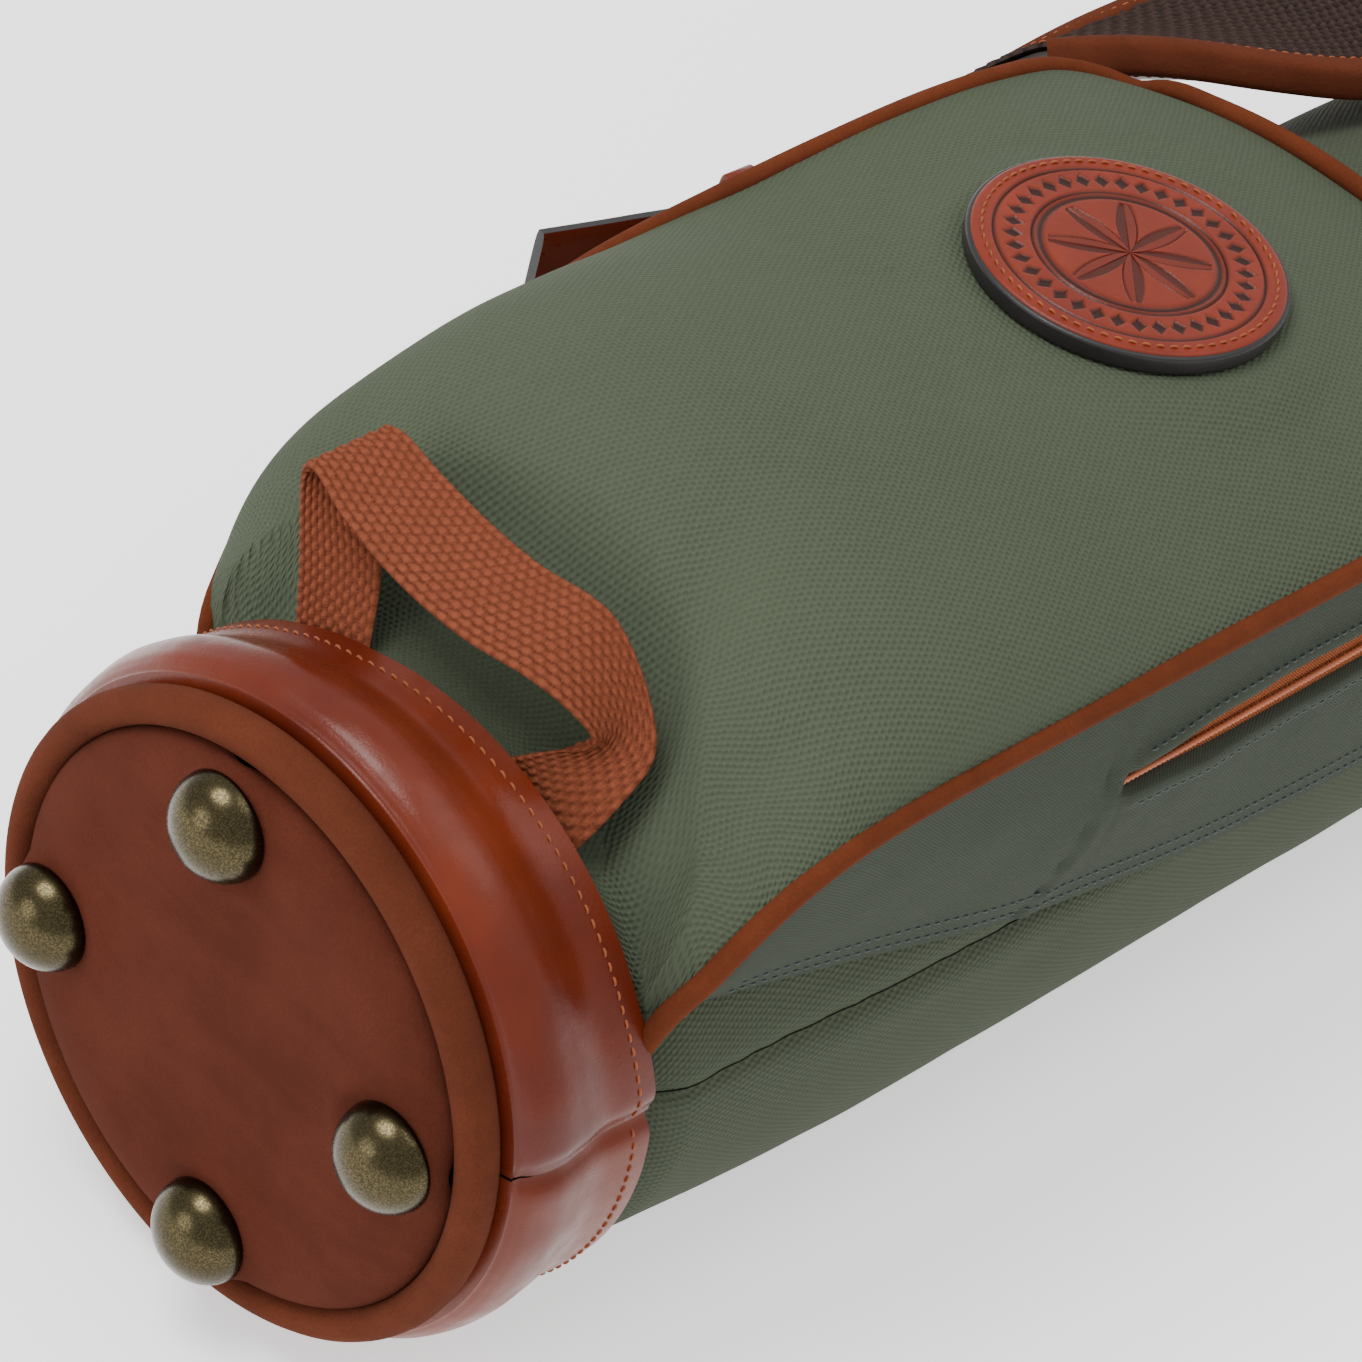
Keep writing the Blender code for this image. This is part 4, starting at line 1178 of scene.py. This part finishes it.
def build_badge():
    centre = (BADGE_X, 0.0, 0.0)
    bottom = BADGE_LOW.z
    low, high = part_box("badge_leather")
    rim = (high.x - low.x) / 2.0
    top = high.z
    black_top = top - 0.0006
    well = rim - 0.0006
    edge = BADGE_RADIUS
    arc = [(edge - 0.0012 + 0.0012 * math.cos(a), bottom + 0.0012 + 0.0012 * math.sin(a))
           for a in np.linspace(-math.pi / 2, 0.0, 6)]
    arc += [(edge - 0.0010 + 0.0010 * math.cos(a), black_top - 0.0010 + 0.0010 * math.sin(a))
            for a in np.linspace(0.0, math.pi / 2, 6)]
    lathe("badge_edge_disc", [(0.0, bottom), (edge * 0.6, bottom), *arc, (well, black_top),
                               (well, BADGE_HIGH.z), (0.0, BADGE_HIGH.z)], EDGE_PAINT, "bag", centre,
          "z", replaces=["badge_backing"])
    side = [(0.0, low.z - 0.0002), (rim, low.z - 0.0002), (rim + 0.0002, low.z + 0.0010), (rim, top - 0.0012)]
    round_edge = [(rim - 0.0012 + 0.0012 * math.cos(a), top - 0.0012 + 0.0012 * math.sin(a))
                  for a in np.linspace(0.25, math.pi / 2, 5)]
    face = [(r, top + 0.0002 * (1.0 - (r / rim) ** 2)) for r in np.linspace(rim - 0.0014, 0.0, 120)]
    lathe("badge_face_leather", [*side, *round_edge, *face], BADGE_LEATHER, "bag", centre, "z",
          steps=360, replaces=["badge_leather"], relief=badge_relief)
    ring = rim - 0.0027
    path = [(BADGE_X + ring * math.cos(t), ring * math.sin(t), top + 0.0001)
            for t in np.linspace(0.0, TAU, 400)]
    stitches("badge_stitches", path, (0.0, 0.0, 1.0), BOLD_SEWING, THREAD, "bag", lean=0.12)


build_badge()


# Webbing handle at the base

WEBBING_WIDTH = 0.025
YARN_WIDTH = 0.0021
YARN_BEAT = 0.0031

# The tape's two edges at each stop along it, as station, y and height above the axis
HANDLE_EDGES = (
    ((0.0486, 0.0438, 0.0640), (0.0486, 0.0216, 0.0745)),
    ((0.0492, 0.0490, 0.0730), (0.0510, 0.0290, 0.0850)),
    ((0.0485, 0.0540, 0.0830), (0.0550, 0.0400, 0.0950)),
    ((0.0490, 0.0560, 0.0910), (0.0620, 0.0465, 0.1030)),
    ((0.0470, 0.0510, 0.0960), (0.0620, 0.0420, 0.1070)),
    ((0.0440, 0.0370, 0.0935), (0.0610, 0.0280, 0.1055)),
    ((0.0415, 0.0170, 0.0920), (0.0600, 0.0110, 0.1045)),
    ((0.0405, -0.0030, 0.0930), (0.0600, -0.0040, 0.1045)),
    ((0.0420, -0.0200, 0.0945), (0.0615, -0.0180, 0.1055)),
    ((0.0455, -0.0300, 0.0915), (0.0630, -0.0260, 0.1022)),
    ((0.0495, -0.0355, 0.0855), (0.0628, -0.0365, 0.0930)),
    ((0.0515, -0.0318, 0.0815), (0.0590, -0.0450, 0.0838)),
    ((0.0500, -0.0262, 0.0784), (0.0528, -0.0462, 0.0750)),
    ((0.0486, -0.0216, 0.0745), (0.0486, -0.0438, 0.0640)),
)


def weave(along, across):
    """Height of the webbing's face, 0 to 1: staggered rows of plump yarn."""
    column = across / YARN_WIDTH
    shift = 0.5 * (math.floor(column) % 2)
    beat = along / YARN_BEAT + shift
    over = 0.5 - 0.5 * math.cos(TAU * beat)
    bulge = math.sin(math.pi * (column % 1.0))
    return (0.25 + 0.75 * over) * bulge**0.7


def build_handle():
    rows, columns = 420, 72
    table_a = [(i, *place(*a)) for i, (a, _) in enumerate(HANDLE_EDGES)]
    table_b = [(i, *place(*b)) for i, (_, b) in enumerate(HANDLE_EDGES)]
    spots = np.linspace(0, len(HANDLE_EDGES) - 1, rows * 2)
    middle = np.array([(through(table_a, t) + through(table_b, t)) / 2 for t in spots])
    run = np.concatenate([[0.0], np.cumsum(np.linalg.norm(np.diff(middle, axis=0), axis=1))])
    even = np.interp(np.linspace(0.0, run[-1], rows), run, spots)
    grid, outer, inner, depth = [], [], [], []
    for t, length in zip(even, np.linspace(0.0, run[-1], rows)):
        a, b = through(table_a, t), through(table_b, t)
        row, high, low, hollow_shade = [], [], [], []
        for share in np.linspace(0.0, 1.0, columns):
            row.append(a + (b - a) * share)
            across = share * WEBBING_WIDTH
            edge = min(share, 1.0 - share) * WEBBING_WIDTH
            rounding = math.sqrt(max(0.0, 1.0 - (1.0 - min(edge / 0.0011, 1.0)) ** 2))
            front = weave(length, across)
            back = weave(length + 0.0013, across + 0.0004)
            high.append((0.0004 + 0.0008 * front) * rounding)
            low.append((0.0004 + 0.0008 * back) * rounding)
            # painted shade: how dark the hollows between yarns are painted, kept as the depth attribute
            hollow_shade.append(1.0 - min(front * 1.25, 1.0))
        grid.append(row)
        outer.append(high)
        inner.append(low)
        depth.append(hollow_shade)
    shell("base_handle_strap", grid, np.array(outer), np.array(inner), WEBBING, "bag",
          replaces=["base_handle_webbing"], flip=True, values=depth)


build_handle()


# Shoulder strap: a foam pad between knitted mesh and leather, bound in suede. A row is station,
# centre y, centre z, half-width, and the tilt of its width from level in degrees.

STRAP = (
    (0.352, 0.1080, 0.0620, 0.0190, 50.0), (0.368, 0.0950, 0.0700, 0.0260, 34.0),
    (0.390, 0.0780, 0.0780, 0.0310, 16.0), (0.415, 0.0680, 0.0800, 0.0325, 7.0),
    (0.450, 0.0650, 0.0805, 0.0325, 5.0), (0.500, 0.0650, 0.0805, 0.0325, 5.0),
    (0.560, 0.0670, 0.0800, 0.0325, 10.0), (0.610, 0.0740, 0.0760, 0.0310, 24.0),
    (0.640, 0.0810, 0.0670, 0.0240, 38.0), (0.652, 0.0840, 0.0610, 0.0180, 46.0),
)
BILLET = (
    (0.1960, 0.1240, 0.0420, 0.0150, 90.0), (0.2250, 0.1215, 0.0375, 0.0150, 90.0),
    (0.2550, 0.1185, 0.0342, 0.0150, 90.0), (0.2850, 0.1160, 0.0378, 0.0150, 86.0),
    (0.3150, 0.1140, 0.0445, 0.0150, 78.0), (0.3492, 0.1087, 0.0607, 0.0150, 51.0),
)
CHAPE = (
    (0.2200, 0.1085, 0.0290, 0.0100, 90.0), (0.2450, 0.1100, 0.0325, 0.0100, 90.0),
    (0.2775, 0.1118, 0.0400, 0.0100, 90.0),
)
UPPER_TAB = (
    (0.6525, 0.0845, 0.0600, 0.0130, 46.0), (0.6680, 0.0930, 0.0470, 0.0105, 60.0),
    (0.6840, 0.1010, 0.0350, 0.0085, 72.0), (0.6960, 0.1040, 0.0310, 0.0080, 78.0),
)
BINDING_HALF = 0.0042
BINDING_DEPTH = 0.0051
PAD_TRIM = 0.0030
NET_ROW = 0.87


def strap_point(table, station, share, level=0.0, trim=0.0):
    """Point across a strap, 1 on its upper edge, raised off its middle plane, and the way it faces."""
    y, z, half, tilt = through(table, station)
    turn = math.radians(tilt)
    wide = Vector((0, -math.cos(turn), math.sin(turn)))
    lift = Vector((0, math.sin(turn), math.cos(turn)))
    spot = Vector((station, y, z)) + wide * (half - trim) * share + lift * level
    return np.array(place(*spot)), np.array(lift)


def strap_grid(table, rows, columns, level=0.0, trim=0.0, crown=0.0):
    return np.array([[
        strap_point(table, s, share, level + crown * (1.0 - abs(share) ** 3), trim)[0]
        for share in np.linspace(1.0, -1.0, columns)
    ] for s in np.linspace(table[0][0], table[-1][0], rows)])


def strap_sewing(name, table, stations, share, level, trim, sewing):
    """Stitches along a strap at a share of its width, on the face that the level's sign picks."""
    spots = [strap_point(table, s, share, level, trim) for s in stations]
    facing = math.copysign(1.0, level)
    stitches(name, [a for a, _ in spots], [b * facing for _, b in spots], sewing, THREAD, "shoulder_strap")


def leather_strap(name, table, thickness, rows):
    """A strap with painted edges and a row of stitches along each one."""
    columns = 17
    shares = np.abs(np.linspace(1.0, -1.0, columns))
    half = np.broadcast_to(thickness / 2.0 * (1.0 - 0.35 * shares**10), (rows, columns))
    shell(name + "_leather", strap_grid(table, rows, columns), half, half, [STRAP_LEATHER, EDGE_PAINT],
          "shoulder_strap", replaces=[name])
    stations = np.linspace(table[0][0] + 0.002, table[-1][0] - 0.002, rows)
    for side, share in (("upper", 1.0), ("lower", -1.0)):
        strap_sewing(f"{name}_stitches_{side}", table, stations, share, thickness / 2.0, 0.0024, STRAP_SEWING)


def net_holes(rows, columns):
    """How far down a hole each point of the mesh face is, in staggered rows of holes."""
    holes = np.zeros((rows, columns))
    for i, station in enumerate(np.linspace(STRAP[0][0], STRAP[-1][0], rows)):
        half = through(STRAP, station)[2] - PAD_TRIM
        for j, share in enumerate(np.linspace(1.0, -1.0, columns)):
            across = half * share / NET_PITCH
            row = math.floor(across / NET_ROW + 0.5)
            along = station / NET_PITCH + 0.5 * (row % 2)
            dx, dy = along - round(along), across - row * NET_ROW
            holes[i, j] = smooth((0.40 - math.hypot(dx, dy)) / 0.16)
    return holes


def build_pad():
    rows, columns = 60, 25
    flat = strap_grid(STRAP, rows, columns, 0.0, PAD_TRIM)
    shares = np.abs(np.linspace(1.0, -1.0, columns))
    bulge = np.broadcast_to(0.0040 - 0.0018 * shares**4, (rows, columns))
    pad = shell("strap_pad_foam", flat, bulge - 0.0007, bulge - 0.0010, FOAM, "shoulder_strap",
                replaces=["strap_pad"])
    rows, columns = 300, 72
    grid = strap_grid(STRAP, rows, columns, 0.0036, PAD_TRIM, 0.0014)
    holes = net_holes(rows, columns)
    # The holes sink the face and, as the depth attribute, darken it as painted shade.
    mesh_face = shell("strap_mesh_face", grid, 0.0007 - 0.0010 * holes, 0.0006, NET, "shoulder_strap",
                      replaces=["strap_mesh"], values=holes)
    back = strap_grid(STRAP, 120, 30, -0.0040, PAD_TRIM, -0.0010)
    outer = shell("strap_outer_leather", back, 0.0007, 0.0009, STRAP_LEATHER, "shoulder_strap",
                  replaces=["strap_outer"])


def build_bindings():
    """Suede wrapped round both edges of the pad, sewn down on each face."""
    stations = np.linspace(STRAP[0][0], STRAP[-1][0], 160)
    size = [1.0 + 0.03 * ripple((s, 0, 0), 60.0) for s in stations]
    wrap = [(squared(math.cos(turn), 0.7) * BINDING_HALF, squared(math.sin(turn), 0.55) * BINDING_DEPTH)
            for turn in np.linspace(0.0, TAU, 28, endpoint=False)]
    for name, share in (("strap_binding_near", 1.0), ("strap_binding_far", -1.0)):
        spots = [strap_point(STRAP, s, share, 0.0, BINDING_HALF) for s in stations]
        sweep(name + "_suede", [a for a, _ in spots], wrap, SUEDE_WELT, "shoulder_strap",
              up=[b for _, b in spots], replaces=[name], size=size)
        for face, level in (("inner", BINDING_DEPTH), ("outer", -BINDING_DEPTH)):
            strap_sewing(f"{name}_stitches_{face}", STRAP, stations, share, level,
                         2.0 * BINDING_HALF - 0.0022, BINDING_SEWING)


def build_keeper():
    low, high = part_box("strap_keeper")
    middle = (low + high) / 2.0
    half_y, half_z = (high.y - low.y) / 2.0 - 0.0009, (high.z - low.z) / 2.0 - 0.0009
    path, out = [], []
    for turn in np.linspace(0.0, TAU, 64, endpoint=False):
        c, d = math.cos(turn), math.sin(turn)
        path.append((middle.x, middle.y + squared(c, 0.16) * half_y, middle.z + squared(d, 0.16) * half_z))
        out.append((0.0, c / half_y, d / half_z))
    band = [(0.0048 * a, 0.0009 * b) for a, b in
            ((-1, -0.6), (-0.92, -1), (0.92, -1), (1, -0.6), (1, 0.6), (0.92, 1), (-0.92, 1), (-1, 0.6))]
    sweep("strap_keeper_loop", path, band, STRAP_LEATHER, "keeper", closed=True, up=out,
          replaces=["strap_keeper"])


build_pad()
build_bindings()
leather_strap("strap_billet", BILLET, 0.0030, 90)
leather_strap("buckle_chape", CHAPE, 0.0026, 40)
leather_strap("strap_upper_tab", UPPER_TAB, 0.0030, 40)
build_keeper()


# Mouth: leather collar, suede rim, padded divider bars and the lining

def build_collar():
    low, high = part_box("collar_band")
    start, end = low.x - BASE_X, high.x - BASE_X
    outer = (high.z - low.z) / 2.0
    grid = []
    for station in np.linspace(start, end, 40):
        edge = smooth((station - start) / 0.003) * smooth((end - station) / 0.002)
        radius = outer - 0.0010 - 0.0006 * (1.0 - edge) + 0.0006 * bump_at(station, (start + end) / 2, 0.02)
        grid.append(ring_path(station, radius, 181, endpoint=True)[0])
    shell("collar_band_leather", grid, 0.0004, 0.0012, [BOOT_LEATHER, EDGE_PAINT], "bag",
          replaces=["collar_band"], flip=True)
    for name, station in (("rear", start + 0.004), ("front", end - 0.005)):
        path, out = ring_path(station, outer - 0.0006, 300, endpoint=True)
        stitches(f"collar_stitches_{name}", path, out, BOLD_SEWING, THREAD, "bag")
    low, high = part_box("collar_welt")
    tube = (high.x - low.x) / 2.0
    ring = (high.z - low.z) / 2.0 - tube
    path, out = ring_path((low.x + high.x) / 2.0 - BASE_X, ring, 240)
    sweep("collar_welt_roll", path, circle(tube, 18), SUEDE_WELT, "bag", closed=True, up=out,
          replaces=["collar_welt"])


def build_dividers():
    for name in ("divider_bar_front", "divider_bar_back"):
        low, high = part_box(name)
        middle = (low + high) / 2.0
        path = [(middle.x, y, middle.z + 0.0004 * ripple((0, y, middle.z), 60.0))
                for y in np.linspace(low.y, high.y, 80)]
        section = []
        for turn in np.linspace(0.0, TAU, 32, endpoint=False):
            c, d = math.cos(turn), math.sin(turn)
            section.append((squared(c, 0.6) * (high.x - low.x) / 2.0,
                            squared(d, 0.7) * (high.z - low.z) / 2.0))
        sweep(name + "_pad", path, section, LINING, "bag", up=(0, 0, 1),
                        replaces=[name])


def build_lining():
    low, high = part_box("body_lining")
    first, last = low.x - BASE_X, high.x - BASE_X
    wall = (high.z - low.z) / 2.0
    grid = []
    for station in np.linspace(first, last, 150):
        held = smooth((station - first) / 0.03) * smooth((last - station) / 0.04)
        row = []
        for t in np.linspace(0.0, TAU, 145):
            spot = (station, 0.07 * math.sin(t), 0.07 * math.cos(t))
            radius = wall - 0.0014 - 0.0012 * held * (1.0 + ripple(spot, 22.0, 3.0))
            radius -= 0.0012 * bump_at(station, BOOT_TOP, 0.025)
            row.append(place(station, *polar(radius, t)))
        grid.append(row)
    shell("body_lining_cloth", grid, 0.0004, 0.0004, LINING, "bag", replaces=["body_lining"],
          flip=True)


build_collar()
build_dividers()
build_lining()


# Rings and the carry handle

ANCHOR_HEIGHT = 0.0070
RING_WIRE = 0.0020
RING_HALF = 0.0160
RING_REACH = 0.0180
CARRY_START = 0.500
CARRY_END = 0.650
CARRY_ANGLE = 35.0
STRAP_ANGLE = -88.6
GRIP_RADIUS = 0.0045
GRIP_SQUASH = 0.86


def hinge_frame(station, degrees):
    """Centre of a ring's bar beside the canvas, and the directions round the bag and out of it."""
    width, height = body_size(station)
    turn = math.radians(degrees)
    out = Vector((0, -math.sin(turn), math.cos(turn)))
    radius = 1.0 / math.hypot(math.sin(turn) / width, math.cos(turn) / height)
    return Vector(place(station, 0, 0)) + out * (radius + ANCHOR_HEIGHT), \
        Vector((0, -math.cos(turn), -math.sin(turn))), out


def ring_piece(name, station, degrees, toward, body):
    """A D-shaped wire ring whose bow points one way from its bar."""
    centre = hinge_frame(station, degrees)[0]
    neck = RING_REACH * 0.35
    bow = [(RING_HALF * math.cos(a), neck + (RING_REACH - neck) * math.sin(a))
           for a in np.linspace(0, math.pi, 40)]
    corner = 0.0018
    low = [(x, 0.0) for x in np.linspace(-RING_HALF + corner, RING_HALF - corner, 12)]
    right = [(RING_HALF - corner + corner * math.sin(a), corner - corner * math.cos(a))
             for a in np.linspace(0.2, math.pi / 2, 6)]
    left = [(-x, h) for x, h in reversed(right)]
    path = [centre + Vector((1, 0, 0)) * x + toward * h for x, h in [*low, *right, *bow, *left]]
    sweep(name + "_wire", [tuple(p) for p in path], circle(RING_WIRE, 16), BRASS, body, closed=True,
          up=tuple(Vector((1, 0, 0)).cross(toward)), replaces=[name])


def build_rings():
    for name, station, lean in (("lower", 0.232, 40.0), ("upper", 0.690, 60.0)):
        turn = math.radians(lean)
        toward = Vector((0, math.cos(turn), math.sin(turn)))
        ring_piece(f"d_ring_{name}", station, STRAP_ANGLE, toward, "shoulder_strap")
    for index, station in ((1, CARRY_START), (2, CARRY_END)):
        ring_piece(f"carry_ring_{index}", station, CARRY_ANGLE, hinge_frame(station, CARRY_ANGLE)[1],
                   "carry_handle")


def build_ring_loops():
    """The leather loops that join the strap to its rings, each a closed-up route of y and height."""
    band = [(-0.0009, -0.0055), (0.0009, -0.0055), (0.0009, 0.0055), (-0.0009, 0.0055)]
    for name, station, route in (
        ("lower", 0.2270, ((0.1098, 0.0270), (0.1100, 0.0180), (0.1092, 0.0125), (0.1063, 0.0102),
                           (0.1036, 0.0125), (0.1046, 0.0180), (0.1072, 0.0270))),
        ("upper", 0.6900, ((0.1052, 0.0330), (0.1050, 0.0220), (0.1042, 0.0166), (0.1015, 0.0142),
                           (0.0988, 0.0166), (0.0994, 0.0220), (0.1012, 0.0320))),
    ):
        loop = resample([place(station, y, z) for y, z in route], 60)
        sweep(f"strap_ring_loop_{name}", loop, band, STRAP_LEATHER, "shoulder_strap", up=(1, 0, 0))


def build_carry_handle():
    centre, side, out = hinge_frame((CARRY_START + CARRY_END) / 2.0, CARRY_ANGLE)
    half = (CARRY_END - CARRY_START) / 2.0
    path = []
    for share in np.linspace(-1.0, 1.0, 90):
        drop = 0.0245 + 0.0130 * math.cos(share * math.pi / 2.0) ** 0.6
        path.append(tuple(centre + Vector((half * share, 0, 0)) + side * drop))
    sweep("carry_handle_leather", path, circle(GRIP_RADIUS, 24, GRIP_SQUASH), STRAP_LEATHER, "carry_handle",
          up=tuple(out), replaces=["carry_handle_grip"])
    seam = [tuple(Vector(p) + out * (GRIP_RADIUS * GRIP_SQUASH)) for p in path[4:-4]]
    stitches("carry_handle_stitches", seam, tuple(out), STRAP_SEWING, THREAD, "carry_handle")


build_rings()
build_ring_loops()
build_carry_handle()


# Carried-over parts

for node, look in (
    ("base_board", PLASTIC), ("foot_nut_1", BRASS), ("foot_nut_2", BRASS), ("foot_nut_3", BRASS),
    ("foot_nut_4", BRASS), ("stay_front", PLASTIC), ("stay_near", PLASTIC), ("stay_far", PLASTIC),
    ("zip_slider", BRASS), ("zip_puller", STRAP_LEATHER), ("collar_ring", PLASTIC),
    ("buckle_frame", BRASS), ("buckle_prong", BRASS), ("anchor_tab_lower", STRAP_LEATHER),
    ("anchor_tab_upper", STRAP_LEATHER), ("carry_tab_1", STRAP_LEATHER), ("carry_tab_2", STRAP_LEATHER),
):
    thing = NODES[node]
    thing.data.materials.clear()
    thing.data.materials.append(look)

bpy.context.view_layer.update()
